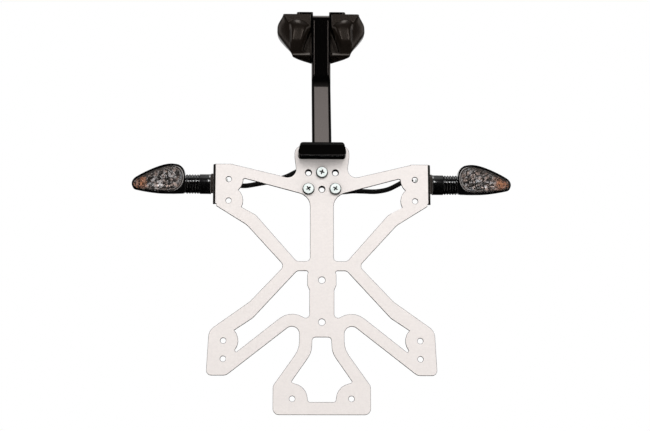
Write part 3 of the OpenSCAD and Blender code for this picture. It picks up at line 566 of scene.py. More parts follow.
def between(start, end, share):
    return start + (end - start) * share


def held(share):
    return min(max(share, 0.0), 1.0)


def eased(share):
    return held(share) ** 2 * (3 - 2 * held(share))


def moved_in(curve, distance):
    """A closed curve in the plane moved inwards."""
    along = np.roll(curve, -1, 0) - np.roll(curve, 1, 0)
    along /= np.linalg.norm(along, axis=1)[:, None]
    return curve + distance * np.stack([-along[:, 1], along[:, 0]], 1)


# Indicators

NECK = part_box("right_neck")
STEM = (NECK[0] + NECK[1]) / 2
STEM_X = NECK[1].x
STEM_DROP = 0.0007
STEM_SKIN = 0.0004
STEM_RADIUS = (NECK[1].z - NECK[0].z) / 2 + STEM_SKIN
RIM_Y = STEM.y - 0.0095
# outline of the housing's rim and of its window, outwards from the stem and up, in millimetres
BODY = [
    (0, 3), (0, -4), (0.6, -9.4), (8, -10.2), (16, -10.3), (26.5, -10), (36.7, -8.8), (46.7, -7),
    (51.8, -5.3), (54, 0), (52, 4.9), (46.7, 8.6), (36.7, 13.7), (26.5, 17.8), (18.5, 19.9), (11.5, 20.2),
    (5.3, 18.5), (1, 13),
]
WINDOW = [
    (1.6, 7.5), (2.3, 2), (5, -3.2), (10, -6.6), (16.5, -7.9), (26.5, -7.6), (36.7, -6.6), (46, -5.3),
    (51, -3.8), (52.8, 0.2), (51, 3.9), (46, 6.9), (36.4, 11.8), (26, 15.8), (18, 17.9), (11.5, 18.2),
    (6.2, 16.7), (2.8, 12.7),
]
STEM_END = np.array([0.0, 0.0])
WINDOW_MIDDLE = np.array([20.0, 5.0])
HOUSING_DEPTH = 19.6
HOUSING_WALL = 2.0
LENS_CROWN = 9.0
LENS_WALL = 1.6
RIM_LAND = 0.5
DISH_START = 0.2
DISH_DEPTH = 6.2
DISH_WALL = 0.6


def indicator_ring(curve, centre, scale, depth, side):
    """A curve drawn at a depth behind the rim, on the left or right indicator; sizes in millimetres."""
    spread = centre + scale * (curve - centre)
    return [(side * (STEM_X + x * MM), RIM_Y + depth * MM, STEM.z + z * MM) for x, z in spread]


def with_rim(mesh, shares):
    """Gives each ring of a mesh its share of the way out to the rim, for the finish to read."""
    layer = mesh.attributes.new("rim", "FLOAT", "POINT")
    layer.data.foreach_set("value", np.repeat(shares, len(mesh.vertices) // len(shares)))
    return mesh


def aimed(mesh, tilt):
    """Turns a piece of an indicator on its stem, so that its lens looks down a little."""
    axis = Vector((0, STEM.y, STEM.z))
    drop = Vector((0, 0, STEM_DROP))
    turn = Matrix.Rotation(tilt, 4, "X")
    mesh.transform(Matrix.Translation(axis - drop) @ turn @ Matrix.Translation(-axis))
    return mesh


def stepped(profile, steps):
    """A finer list of (scale, depth) pairs along a smooth profile."""
    fine = curve_through(profile, steps, closed=False)
    fine[:, 0] = np.clip(fine[:, 0], 0.02, 1.0)
    return fine


def indicator_shell(side, detail):
    """The housing: a rounded back, a rim, the ledge that carries the lens, and an inner wall."""
    body = curve_through(BODY, detail)
    body[:, 0] = np.maximum(body[:, 0], 0.0)
    window = curve_through(WINDOW, detail)
    land = moved_in(window, RIM_LAND)
    back = stepped([(0.3, 1), (0.55, 0.96), (0.8, 0.85), (0.92, 0.75), (0.985, 0.6), (1, 0.35), (1, 0)], 3)
    rim = [(moved_in(body, 0.35), -0.3), (moved_in(window, -0.1), -0.3), (window, 0), (land, 0), (land, 2)]
    rings = [indicator_ring(body, STEM_END, s, d * HOUSING_DEPTH, side) for s, d in back]
    rings += [indicator_ring(curve, STEM_END, 1, depth, side) for curve, depth in rim]
    inner = moved_in(body, HOUSING_WALL)
    middle = STEM_END + (HOUSING_WALL, 0)
    for s, d in ((1, 0.3), (0.985, 0.52), (0.92, 0.67), (0.8, 0.75), (0.5, 0.86)):
        rings.append(indicator_ring(inner, middle, s, d * HOUSING_DEPTH, side))
    return ring_mesh("indicator_shell", rings)


def indicator_lens(side, detail):
    """The lens: a domed cover with an even wall."""
    window = curve_through(WINDOW, detail)
    inner = moved_in(window, LENS_WALL)
    crown = stepped([(0.25, 1), (0.5, 0.95), (0.72, 0.82), (0.87, 0.6), (0.96, 0.34), (1, 0.1)], 3)
    inside = [(s, LENS_WALL - d * LENS_CROWN) for s, d in crown]
    rings = [indicator_ring(inner, WINDOW_MIDDLE, s, depth, side) for s, depth in inside if depth < -0.2]
    rings += [indicator_ring(curve, WINDOW_MIDDLE, 1, 0, side) for curve in (inner, window)]
    shares = [0.0] * (len(rings) - 1) + [1.0, *crown[::-1, 0]]
    rings += [indicator_ring(window, WINDOW_MIDDLE, s, -d * LENS_CROWN, side) for s, d in crown[::-1]]
    return with_rim(ring_mesh("indicator_lens", rings), shares)


def indicator_dish(side, detail):
    """The reflector: a thin dish behind the lens."""
    edge = moved_in(curve_through(WINDOW, detail), RIM_LAND + 0.2)
    face = moved_in(edge, DISH_WALL)
    dish = stepped([(1, 0), (0.97, 0.3), (0.88, 0.62), (0.7, 0.86), (0.4, 1)], 3)
    front = [(s, DISH_START + d * DISH_DEPTH) for s, d in dish[::-1]]
    back = [(s, DISH_START + eased(d * 2) + d * DISH_DEPTH) for s, d in dish]
    rings = [indicator_ring(face, WINDOW_MIDDLE, s, depth, side) for s, depth in front]
    rings += [indicator_ring(edge, WINDOW_MIDDLE, s, depth, side) for s, depth in back]
    return with_rim(ring_mesh("indicator_dish", rings), [*dish[::-1, 0], *dish[:, 0]])


# Cover

RECESS = 10.5
RECESS_FLOOR = -17.5
COVER_BACK = -32.5
COVER_WALL = 2.5
COVER_RIM = -3.1
DECK_LOW = -5.0
DECK_TOP = -2.5
ARCH_MIDDLE = 0.58
# levels of the cover in millimetres: height, half width, rear face, half width of the recess round the
# arm, front face, and half width of the rear face
COVER_LIP = [
    (-51.8, 12, RECESS_FLOOR - 0.5, RECESS, -6, 11.5),
    (-50.1, 30, -34.6, RECESS, -3, 29),
    (-49.8, 30.3, -36.1, RECESS, -2.5, 29.3),
    (-49.4, 30.5, -36.5, RECESS, -1.5, 29.5),
    (-47.6, 31, -35.4, RECESS, 2.6, 30),
    (-46.8, 31.2, -33.2, RECESS, 2.8, 30.3),
    (-45.8, 31.6, -32.6, RECESS, 3, 30.6),
    (-45.1, 31.8, -32, RECESS + 9.4, 4.5, 30.8),
]
COVER_SIDES = [
    (-44.5, 32, -31.8, RECESS + 9.5, 6, 31),
    (-42, 33.5, COVER_BACK, RECESS + 9, 10.5, 32),
    (-36, 37.5, COVER_BACK, RECESS + 7.5, 16, 33),
    (-29, 42, COVER_BACK, RECESS + 5, 22, 33.2),
    (-22, 45.9, COVER_BACK, RECESS + 2.2, 27, 33),
    (-17, 46.3, COVER_BACK, RECESS + 0.4, 30, 33.3),
    (-13, 46, COVER_BACK, RECESS, 32, 34.2),
    (-10, 45, COVER_BACK, RECESS, 33.5, 35.6),
    (-7, 43.4, COVER_BACK, RECESS, 35, 37.4),
    (COVER_RIM, 40.8, COVER_BACK, RECESS, 37, 39.9),
]
COVER_FLOOR = [
    (-45.75, 31.5, -31.8, RECESS + 9.5, 5, 30.5),
    (-46.8, 17.5, RECESS_FLOOR - 0.5, RECESS, 0, 16.8),
]


def panel_out(across, height, bulge):
    """How far a rear panel stands out; it has an arched upper edge."""
    inward = max(0.0, (ARCH_MIDDLE - across) / ARCH_MIDDLE)
    outward = max(0.0, (across - ARCH_MIDDLE) / (1 - ARCH_MIDDLE))
    arch = -9.3 - 7.2 * inward**2 - 3.6 * outward**2
    sides = 1 - abs(2 * across - 1) ** 7
    rise = 1 - math.exp(-max(arch - height, 0.0) / 5.2)
    return bulge * rise * eased((height + 44.5) / 12) * sides


def cover_ring(level, wall, bulge, steps):
    """One level of the cover, from the middle of the recess round both sides."""
    z, w, rear, g, front, outer = level
    w, rear, g, front, outer = w - wall, rear + wall, g + wall, front - wall, outer - wall
    floor = RECESS_FLOOR + wall
    mid = rear + between(10, 1.5, held((-z - 22) / 25))
    inner = min(g + 1.4, outer - 0.3)
    power = between(0.7, 1.5, held((-z - 2.8) / 45) ** 3)
    half = [(0, floor), (g / 2, floor), (g - 0.4, floor)]
    half += [(g + out, between(floor, rear, share)) for out, share in ((0, 0.04), (0.2, 0.5), (0.4, 0.93))]
    for k in range(4 * steps + 1):
        across = k / (4 * steps)
        half.append((between(inner, outer, across), rear - panel_out(across, z, bulge)))
    wing = curve_through([(0, 0), (0.45, 0.3), (0.85, 0.65), (1, 1)], steps, closed=False)
    half += [(between(outer, w, x), between(rear, mid, y)) for x, y in wing[1:-1]]
    for k in range(3 * steps + 1):
        turn = math.pi / 2 * k / (3 * steps)
        half.append((w * max(math.cos(turn), 0.0) ** power, mid + (front - mid) * math.sin(turn) ** power))
    points = half + [(-x, y) for x, y in half[-2:0:-1]]
    return [(x * MM, y * MM, z * MM) for x, y in points]


def prism(outline, low, high):
    """An upright prism on a flat outline; sizes in millimetres."""
    return ring_mesh("prism", [[(x * MM, y * MM, z * MM) for x, y in outline] for z in (low, high)])


def rectangle(x0, y0, x1, y1):
    return [(x0, y0), (x1, y0), (x1, y1), (x0, y1)]


def disc(x, y, radius, sides=32):
    turn = [2 * math.pi * k / sides for k in range(sides)]
    return [(x + radius * math.cos(a), y + radius * math.sin(a)) for a in turn]


def joined(meshes):
    made = bpy.data.meshes.new("joined")
    with edited(made) as bm:
        for mesh in meshes:
            bm.from_mesh(mesh)
            bpy.data.meshes.remove(mesh)
    return made


def cover_mesh(bulge, steps):
    """The moulded shell with its deck, open towards the tail and round the arm."""
    sides = [tuple(level) for level in curve_through(COVER_SIDES, steps, closed=False)]
    rings = [cover_ring(level, 0, bulge, steps) for level in COVER_LIP + sides]
    rings += [cover_ring(level, COVER_WALL, bulge, steps) for level in sides[::-1] + COVER_FLOOR]
    shell = ring_mesh("cover", rings)
    top = [(x / MM, y / MM) for x, y, z in cover_ring(COVER_SIDES[-1], 1.0, 0, steps)]
    deck = prism(top, DECK_LOW, DECK_TOP)
    back = RECESS_FLOOR - 1
    keyhole = [(-RECESS, back), (RECESS, back), (RECESS, -12), (12.5, -12)]
    keyhole += [(12.5, 31), (-12.5, 31), (-12.5, -12), (-RECESS, -12)]
    openings = [
        prism(keyhole, DECK_LOW - 0.5, DECK_TOP + 1),
        prism(rectangle(-8.5, RECESS_FLOOR - 1, 8.5, RECESS_FLOOR + COVER_WALL + 1), -29.5, -22.5),
    ]
    openings += [prism(disc(x, y, 3.75), DECK_LOW - 1, DECK_TOP + 1) for x in (-18, 18) for y in (-20, 20)]
    openings += [prism(disc(x, 0, 2.25), DECK_LOW - 1, DECK_TOP + 1) for x in (-18, 18)]
    return cut_by(cut_by(shell, deck, "UNION"), joined(openings))


# Leads

LEAD_PITCH = 4.7
DOWN_THE_ARM = [
    (-17.5, -26), (-18.3, -26), (-20.4, -26.5), (-22.4, -28.6), (-23.5, -32), (-23.5, -48), (-23.7, -66),
    (-26.6, -84), (-34, -98.6), (-50, -126.2), (-64, -150.4),
]
STUD_Y = BRACKET_Y / MM + 19
STUD_Z = -231 + 36.8
BODY_X = STEM_X / MM
LEAD_END = BODY_X + 42.5 - 4.8
WIRE_Z = -231 + 57.9 + 6
WIRE_Y = BRACKET_Y / MM - 3.5


def to_bulb(side):
    return [
        (side * 96, STUD_Y, STUD_Z), (side * (BODY_X + 4), STUD_Y, STUD_Z),
        (side * (BODY_X + 12), STUD_Y + 2.6, STUD_Z), (side * (BODY_X + 24), STUD_Y + 2.6, STUD_Z + 0.8),
        (side * (LEAD_END - 4), STUD_Y, STUD_Z + 1.3), (side * LEAD_END, STUD_Y, STUD_Z + 1.3),
    ]


LEAD_ROUTES = {
    "left_lead": [(-LEAD_PITCH, y, z) for y, z in DOWN_THE_ARM]
    + [
        (-4.8, -66.6, -157), (-5.3, -67, -164), (-8, -66, -170), (-13, -64, -175), (-20, -62.3, -179),
        (-27, -62, -182.4), (-36, -62, -187), (-50, -62, -191.5), (-64, -62, -194.5), (-78, -61.5, -196.6),
        (-88, -61.2, -195.4),
    ]
    + to_bulb(-1),
    "right_lead": [(LEAD_PITCH, y, z) for y, z in DOWN_THE_ARM]
    + [
        (4.7, -65, -154), (5, -63, -164), (6.5, -62, -178), (9.5, -61.5, -192), (13, -61.5, -199.6),
        (18, -61.5, -202.4), (24, -61.5, -202.4), (32, -61.5, -201.6), (43, -61.5, -201.8), (55, -61.5, -202),
        (67, -61.5, -199.8), (77, -61.3, -195), (85, -61.2, -190.6), (91, -61.2, -189.8),
    ]
    + to_bulb(1),
    "lamp_lead": [(0, y, z) for y, z in DOWN_THE_ARM]
    + [
        (0, -67.5, -157), (0, -68.2, -162.4), (0, -70, -166), (0, -73, WIRE_Z), (0, WIRE_Y, WIRE_Z),
        (0, WIRE_Y - 1.5, WIRE_Z + 0.8), (0, WIRE_Y - 3.5, WIRE_Z + 1),
    ],
}


def sleeve_radius(point):
    """The sleeves are thinner inside the arm and the stems, and full in the open behind the bracket."""
    below_arm = held((-0.155 - point[2]) / 0.01)
    between_stems = held((0.094 - abs(point[0])) / 0.006)
    return (2.0 + 0.45 * below_arm * between_stems) * MM


def tube(name, route, sides=14):
    """A round sleeve along a smooth route in millimetres, with a map that runs along it."""
    path = curve_through(route, 5, closed=False) * MM
    along = np.gradient(path, axis=0)
    along /= np.linalg.norm(along, axis=1)[:, None]
    length = np.concatenate([[0], np.cumsum(np.linalg.norm(np.diff(path, axis=0), axis=1))])
    aside = np.cross(along[0], (1.0, 0, 0))
    turn = np.linspace(0, 2 * math.pi, sides, endpoint=False)
    rings = []
    for point, forward in zip(path, along):
        aside = aside - forward * (aside @ forward)
        aside /= np.linalg.norm(aside)
        around = np.outer(np.cos(turn), aside) + np.outer(np.sin(turn), np.cross(forward, aside))
        rings.append(point + sleeve_radius(point) * around)
    mesh = ring_mesh(name, rings)
    layer = mesh.uv_layers.new(name="along")
    for face in mesh.polygons:
        spots = [divmod(mesh.loops[i].vertex_index, sides) for i in face.loop_indices]
        steps = [step for ring, step in spots]
        wraps = max(steps) - min(steps) > sides / 2
        for i, (ring, step) in zip(face.loop_indices, spots):
            if wraps and step < sides / 2:
                step += sides
            layer.data[i].uv = (step / sides, length[ring] / (4 * math.pi * MM))
    return mesh


# Geometry Nodes


class Growth(Tree):
    """A Geometry Nodes tree with named inputs, built in the script."""

    def __init__(self, name, inputs):
        group = bpy.data.node_groups.new(name, "GeometryNodeTree")
        super().__init__(group)
        self.keys = {}
        for label, kind in inputs.items():
            socket = group.interface.new_socket(name=label, in_out="INPUT", socket_type="NodeSocket" + kind)
            self.keys[label] = socket.identifier
        group.interface.new_socket(name="Geometry", in_out="OUTPUT", socket_type="NodeSocketGeometry")
        self.source = group.nodes.new("NodeGroupInput")

    def given(self, label):
        return Term(self, self.source.outputs[label])

    def scaled(self, vector, times):
        return self.node("ShaderNodeVectorMath", {"operation": "SCALE"}, {0: vector, 3: times})

    def added(self, vector, other):
        return self.node("ShaderNodeVectorMath", {"operation": "ADD"}, {0: vector, 1: other})

    def circle(self, radius, steps):
        return self.node("GeometryNodeCurvePrimitiveCircle", {}, {"Resolution": steps, "Radius": radius})

    def placed(self, points, shape, **more):
        values = {"Points": points, "Instance": shape, **more}
        return self.node("GeometryNodeInstanceOnPoints", {}, values)

    def joined(self, *parts):
        made = self.tree.nodes.new("GeometryNodeJoinGeometry")
        for part in parts:
            self.tree.links.new(part.socket, made.inputs[0])
        return Term(self, made.outputs[0])

    def finished(self, geometry):
        real = self.node("GeometryNodeRealizeInstances", {}, {0: geometry})
        values = {"Geometry": real, "Material": self.given("Finish")}
        coated = self.node("GeometryNodeSetMaterial", {}, values)
        self.node("NodeGroupOutput", {}, {0: coated})
        return self

    def grown(self, name, mesh, values):
        """Runs the tree on a mesh with these values and returns the result as plain data."""
        source = linked(name + "_source", mesh)
        modifier = source.modifiers.new("growth", "NODES")
        modifier.node_group = self.tree
        for label, value in values.items():
            modifier[self.keys[label]] = value
        return applied(source, mesh)


def ribs_tree():
    """A ribbed rubber neck along X: rounded ribs on a core, from rib count, pitch, radius and groove."""
    inputs = {"Geometry": "Geometry", "Ribs": "Int", "Start": "Vector", "Pitch": "Float"}
    inputs |= {"Outer radius": "Float", "Groove": "Float", "Direction": "Float", "Finish": "Material"}
    g = Growth("ribbed_neck", inputs)
    start, outer = g.given("Start"), g.given("Outer radius")
    step = g.node("ShaderNodeCombineXYZ", {}, {0: g.given("Pitch") * g.given("Direction")})
    first = g.added(start, g.scaled(step, 0.5))
    values = {"Count": g.given("Ribs"), "Start Location": first, "Offset": step}
    line = g.node("GeometryNodeMeshLine", {}, values)
    thick = g.given("Pitch") * 0.46
    rib = g.node("GeometryNodeCurveToMesh", {}, {0: g.circle(outer - thick, 56), 1: g.circle(thick, 12)})
    turned = g.node("GeometryNodeTransform", {}, {"Geometry": rib, "Rotation": (0, math.pi / 2, 0)})
    end = g.added(start, g.scaled(step, g.given("Ribs")))
    axis = g.node("GeometryNodeCurvePrimitiveLine", {}, {0: start, 1: end})
    values = {0: axis, 1: g.circle(outer - g.given("Groove"), 56), "Fill Caps": True}
    core = g.node("GeometryNodeCurveToMesh", {}, values)
    both = g.joined(g.placed(line, turned), core)
    return g.finished(g.node("GeometryNodeSetShadeSmooth", {}, {0: both}))


def copies_tree():
    """Puts one fastener at every point, turned about its own axis by the point's turn."""
    g = Growth("fasteners", {"Geometry": "Geometry", "Fastener": "Object", "Finish": "Material"})
    shape = g.node("GeometryNodeObjectInfo", {}, {"Object": g.given("Fastener")}, output="Geometry")
    turn = g.node("GeometryNodeInputNamedAttribute", {"data_type": "FLOAT_VECTOR"}, {"Name": "turn"})
    return g.finished(g.placed(g.given("Geometry"), shape, Rotation=turn))


def copied(name, mesh, places, turns, finish):
    """One mesh with a fastener at each place; a turn is about the fastener's own axis, in radians."""
    pattern = linked(name + "_pattern", mesh)
    points = bpy.data.meshes.new(name)
    points.from_pydata(places, [], [])
    layer = points.attributes.new("turn", "FLOAT_VECTOR", "POINT")
    for item, turn in zip(layer.data, turns):
        item.vector = (0, turn, 0)
    made = copies_tree().grown(name, points, {"Fastener": pattern, "Finish": finish})
    bpy.data.objects.remove(pattern)
    return made


def lathed(profile, sides=48):
    """A solid turned about Y from (radius, y) points in millimetres, from one end to the other."""
    turn = np.linspace(0, 2 * math.pi, sides, endpoint=False)
    rings = [[(r * math.cos(a) * MM, y * MM, r * math.sin(a) * MM) for a in turn] for r, y in profile]
    return ring_mesh("lathed", rings)


def lathed_aside(profile, start, side, sides=72):
    """A sleeve turned about the stems' axis from (radius, distance) points; it is open through its bore."""
    turn = np.linspace(0, 2 * math.pi, sides, endpoint=False)
    y0, z0 = STEM.y, STEM.z - STEM_DROP
    rings = [
        [(start + side * x * MM, y0 + r * math.cos(a) * MM, z0 + r * math.sin(a) * MM) for a in turn]
        for r, x in [*profile, profile[0]]
    ]
    mesh = ring_mesh("sleeve", rings, closed_ends=False)
    with edited(mesh) as bm:
        bmesh.ops.remove_doubles(bm, verts=bm.verts, dist=WELD / 2)
        bmesh.ops.recalc_face_normals(bm, faces=bm.faces)
    return mesh


def cut_by(mesh, tool, operation="DIFFERENCE"):
    """One mesh with another cut out of it, or joined to it."""
    body = linked("body", mesh)
    knife = linked("knife", tool)
    cut = body.modifiers.new("cut", "BOOLEAN")
    cut.object = knife
    cut.operation = operation
    cut.solver = "EXACT"
    cut.use_self = True
    made = applied(body, mesh)
    bpy.data.objects.remove(knife)
    return made


def cross_recess(width, slot, depth, top):
    """A tapered cross for a driver, cut down from the top of a head that faces -Y; sizes in millimetres."""
    mesh = bpy.data.meshes.new("recess")
    with edited(mesh) as bm:
        for wide, tall in ((width, slot), (slot, width)):
            rings = []
            for y, share in ((top - 1, 1.0), (top, 1.0), (top + depth, 0.55)):
                x, z = wide / 2 * share, tall / 2 * share
                corners = ((x, y, z), (-x, y, z), (-x, y, -z), (x, y, -z))
                rings.append([bm.verts.new(Vector(corner) * MM) for corner in corners])
            for low, high in zip(rings, rings[1:]):
                for k in range(4):
                    bm.faces.new((low[k], low[(k + 1) % 4], high[(k + 1) % 4], high[k]))
            bm.faces.new(rings[0])
            bm.faces.new(rings[-1][::-1])
        bmesh.ops.recalc_face_normals(bm, faces=bm.faces)
    return mesh


# Settings


class SheetSettings(bpy.types.PropertyGroup):
    """The folded steel pieces"""

    steel: FloatVectorProperty(
        name="Steel colour", description="Colour of the blasted stainless sheet", subtype="COLOR",
        default=(0.93, 0.87, 0.84), min=0, max=1,
    )
    coat: FloatVectorProperty(
        name="Coat colour", description="Colour of the powder coat on the arm and mounting plate",
        subtype="COLOR", default=(0.001, 0.0009, 0.0009), min=0, max=1,
    )
    edge: FloatProperty(
        name="Eased edge", description="Width of the eased edges of the sheet",
        default=0.00036, unit="LENGTH",
    )


class IndicatorSettings(bpy.types.PropertyGroup):
    """The indicators and their stems"""

    smoke: FloatVectorProperty(
        name="Lens smoke", description="Tint of the smoked lenses", subtype="COLOR",
        default=(0.12, 0.105, 0.095), min=0, max=1,
    )
    detail: IntProperty(
        name="Curve detail", description="Steps between two points of an outline", default=5, min=2,
    )
    tilt: FloatProperty(
        name="Aim", description="Turn of the indicators on their stems",
        default=math.radians(11), subtype="ANGLE",
    )
    ribs: IntProperty(name="Neck ribs", description="Number of ribs on a neck", default=5, min=3, max=9)


class CoverSettings(bpy.types.PropertyGroup):
    """The moulded tail cover"""

    tint: FloatVectorProperty(
        name="Cover colour", description="Colour of the moulding", subtype="COLOR",
        default=(0.0088, 0.0064, 0.0048), min=0, max=1,
    )
    bulge: FloatProperty(
        name="Panel bulge", description="How far the rear panels stand out, in mm", default=5.0,
    )
    steps: IntProperty(
        name="Cover detail", description="Steps between two levels of the cover", default=5, min=2,
    )


class StageSettings(bpy.types.PropertyGroup):
    """Camera and light"""

    distance: FloatProperty(
        name="Camera distance", description="From camera to bracket", default=1.6, unit="LENGTH",
    )
    elevation: FloatProperty(
        name="Camera elevation", description="Height of the view over the horizon",
        default=math.radians(-12), subtype="ANGLE",
    )
    azimuth: FloatProperty(
        name="Camera azimuth", description="Turn of the view round the part",
        default=math.radians(-1.2), subtype="ANGLE",
    )
    floor: BoolProperty(name="Floor", description="Adds the pale floor", default=True)


class TidySettings(bpy.types.PropertyGroup):
    """All settings of the tail tidy"""

    sheet: PointerProperty(type=SheetSettings)
    indicator: PointerProperty(type=IndicatorSettings)
    cover: PointerProperty(type=CoverSettings)
    stage: PointerProperty(type=StageSettings)


# Operators

PLATED = (
    "arm_bolts", "arm_nuts", "cover_screws", "cover_nuts", "lamp_screws", "bracket_washers", "bracket_nuts",
    "left_stud", "right_stud", "left_washer", "right_washer", "left_stud_nut", "right_stud_nut",
)


def coat_node(node, finish):
    """Gives a CAD node its finish."""
    mesh = NODES[node].data
    mesh.materials.clear()
    mesh.materials.append(finish)


class TIDY_OT_bracket(bpy.types.Operator):
    """Number plate bracket: blasted stainless sheet with eased edges"""

    bl_idname = "tidy.bracket"
    bl_label = "Number plate bracket"

    def execute(self, context):
        sheet = context.scene.tidy.sheet
        mesh = eased_edges("plate_bracket", sheet.edge, clamp=False)
        # the marked edges and ear outsides are painted near black, as painted shade and painted dark
        # reflection
        marked(mesh, "painted_edge_shade", gets_painted_edge_shade)
        piece_from("bracket_sheet", mesh, blasted_steel(sheet.steel), "plate_bracket", "brushed_bracket")
        return {"FINISHED"}


class TIDY_OT_arm(bpy.types.Operator):
    """Folded arm and mounting plate in black powder coat"""

    bl_idname = "tidy.arm"
    bl_label = "Arm and mounting plate"

    def execute(self, context):
        sheet = context.scene.tidy.sheet
        coat = powder_coat("powder_coat", sheet.coat, 0.09)
        mesh = eased_edges("arm", 0.00012, mesh=crease_folds(merged("arm"), -0.03))
        piece_from("folded_arm", mesh, coat, "arm", "painted_arm")
        mesh = eased_edges("mounting_plate", 0.0003)
        piece_from("tail_mount", mesh, coat, "mounting_plate", "painted_mount")
        return {"FINISHED"}


class TIDY_OT_cover(bpy.types.Operator):
    """Moulded cover under the tail"""

    bl_idname = "tidy.cover"
    bl_label = "Tail cover"

    def execute(self, context):
        cover = context.scene.tidy.cover
        mesh = crisp(cover_mesh(cover.bulge, cover.steps), 38)
        coat = moulded("cover_moulding", cover.tint, 0.24, 1500, 0.34)
        piece_from("cover_shell", mesh, coat, "tail_cover", "moulded_cover")
        return {"FINISHED"}


class TIDY_OT_lamp(bpy.types.Operator):
    """Number plate lamp: housing, ribbed lens, board and emitters"""

    bl_idname = "tidy.lamp"
    bl_label = "Number plate lamp"

    def execute(self, context):
        body = moulded("lamp_moulding", (0.001, 0.001, 0.001), 0.36, 1800, 0.03)
        mesh = eased_edges("lamp_housing", 0.0005, segments=3)
        piece_from("lamp_body", mesh, body, "lamp_housing", "lamp_body")
        mesh = eased_edges("lamp_lens", 0.0002)
        piece_from("lamp_window", mesh, clear_lens(), "lamp_lens", "lamp_lens")
        coat_node("lamp_board", solder_resist())
        coat_node("lamp_emitters", clear_resin())
        coat_node("lamp_grommet", soft_rubber("grommet_rubber", (0.01, 0.01, 0.01)))
        return {"FINISHED"}


class TIDY_OT_screws(bpy.types.Operator):
    """Bracket screws with cross recesses, and the plated fasteners"""

    bl_idname = "tidy.screws"
    bl_label = "Screws, washers and nuts"

    def execute(self, context):
        zinc = zinc_plate()
        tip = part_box("bracket_screws")[1].y
        spots = ((0, 44), (-13.5, 27), (13.5, 27))
        places = [(x * MM, BRACKET_Y, SETTING_OUT_Z + z * MM) for x, z in spots]
        length = (tip - BRACKET_Y) / MM
        profile = [(0.3, -4), (4.7, -4), (5.1, -3.9), (5.5, -3.5), (5.8, -2.8), (6, -1.9), (6, -0.2)]
        profile += [(5.9, 0), (3, 0), (3, length - 0.8), (2.3, length), (0.3, length)]
        head = cut_by(lathed(profile), cross_recess(5, 1.4, 2.4, -4))
        # the sides of the heads and the recesses get the painted shade of the zinc finish
        marked(head, "side", lambda centre, normal: normal.y > -0.93 or centre.y > -3.6 * MM)
        mesh = copied("bracket_screws", crisp(head), places, (0.3, 1.0, 0.6), zinc)
        piece_from("plate_screws", mesh, zinc, "bracket_screws", "zinc_fastener")
        for node in PLATED:
            coat_node(node, zinc)
        return {"FINISHED"}


class TIDY_OT_indicators(bpy.types.Operator):
    """Indicators: shell, smoked lens, reflector and bulb on both sides"""

    bl_idname = "tidy.indicators"
    bl_label = "Indicators"

    def execute(self, context):
        settings = context.scene.tidy.indicator
        shell = gloss_shell()
        smoke = smoked_lens(settings.smoke)
        mirror = metallised()
        amber = amber_glass()
        holder = moulded("holder_moulding", (0.03, 0.03, 0.03), 0.5, 1500)
        detail = settings.detail
        for name, side in SIDES.items():
            made = (
                ("_indicator_shell", "_housing", "indicator_shell", indicator_shell(side, detail), 40, shell),
                ("_indicator_lens", "_lens", "smoked_lens", indicator_lens(side, detail), 40, smoke),
                ("_indicator_dish", "_reflector", "reflector", indicator_dish(side, detail), 50, mirror),
                ("_amber_bulb", "_bulb", "amber_bulb", merged(name + "_bulb"), 40, amber),
                ("_holder_ring", "_bulb_holder", "holder", merged(name + "_bulb_holder"), 40, holder),
            )
            for piece, node, slot, mesh, angle, finish in made:
                mesh = aimed(crisp(mesh, angle), settings.tilt)
                piece_from(name + piece, mesh, finish, name + node, slot)
        return {"FINISHED"}


def outward(box, side):
    """The inner and the outer end along X of a piece of a stem."""
    return (box[0].x, box[1].x)[::side]


class TIDY_OT_stems(bpy.types.Operator):
    """Flexible stems: ribbed necks, smooth bases and rubber washers"""

    bl_idname = "tidy.stems"
    bl_label = "Indicator stems"

    def execute(self, context):
        settings = context.scene.tidy.indicator
        ribbed = soft_rubber("neck_rubber", (0.0025, 0.0025, 0.0025), 0.12, 1.0, 0.03)
        smooth = soft_rubber("stem_rubber", (0.0025, 0.0025, 0.0025), 0.3, 1.0, 0.09)
        washer = soft_rubber("washer_rubber", (0.03, 0.022, 0.018), 0.6)
        for name, side in SIDES.items():
            near, far = outward(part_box(name + "_neck"), side)
            values = {
                "Ribs": settings.ribs,
                "Start": (near, STEM.y, STEM.z - STEM_DROP),
                "Pitch": abs(far - near) / settings.ribs,
                "Outer radius": STEM_RADIUS,
                "Groove": 0.001,
                "Direction": float(side),
                "Finish": ribbed,
            }
            mesh = ribs_tree().grown(name + "_neck", bpy.data.meshes.new("seed"), values)
            piece_from(name + "_ribbed_neck", mesh, ribbed, name + "_neck", "rubber")
            r = STEM_RADIUS / MM
            near, far = outward(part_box(name + "_stem_base"), side)
            length = abs(far - near) / MM
            profile = [(3.4, 0), (r - 0.4, 0), (r + 0.1, 0.3), (r + 0.3, 0.8), (r + 0.2, 2)]
            profile += [(r + 0.2, length - 1), (r, length - 0.4), (r - 0.8, length), (3.4, length)]
            mesh = crisp(lathed_aside(profile, near, side), 60)
            piece_from(name + "_smooth_base", mesh, smooth, name + "_stem_base", "rubber")
            coat_node(name + "_pad", washer)
        return {"FINISHED"}


class TIDY_OT_leads(bpy.types.Operator):
    """The three leads down the arm, and their socket"""

    bl_idname = "tidy.leads"
    bl_label = "Leads"

    def execute(self, context):
        sleeve = woven_sleeve()
        for node, route in LEAD_ROUTES.items():
            mesh = tube(node, route)
            piece_from(node + "_sleeve", mesh, sleeve, node, "lead_sleeve")
        coat_node("lead_socket", moulded("socket_moulding", (0.01, 0.01, 0.01), 0.5, 1500))
        return {"FINISHED"}


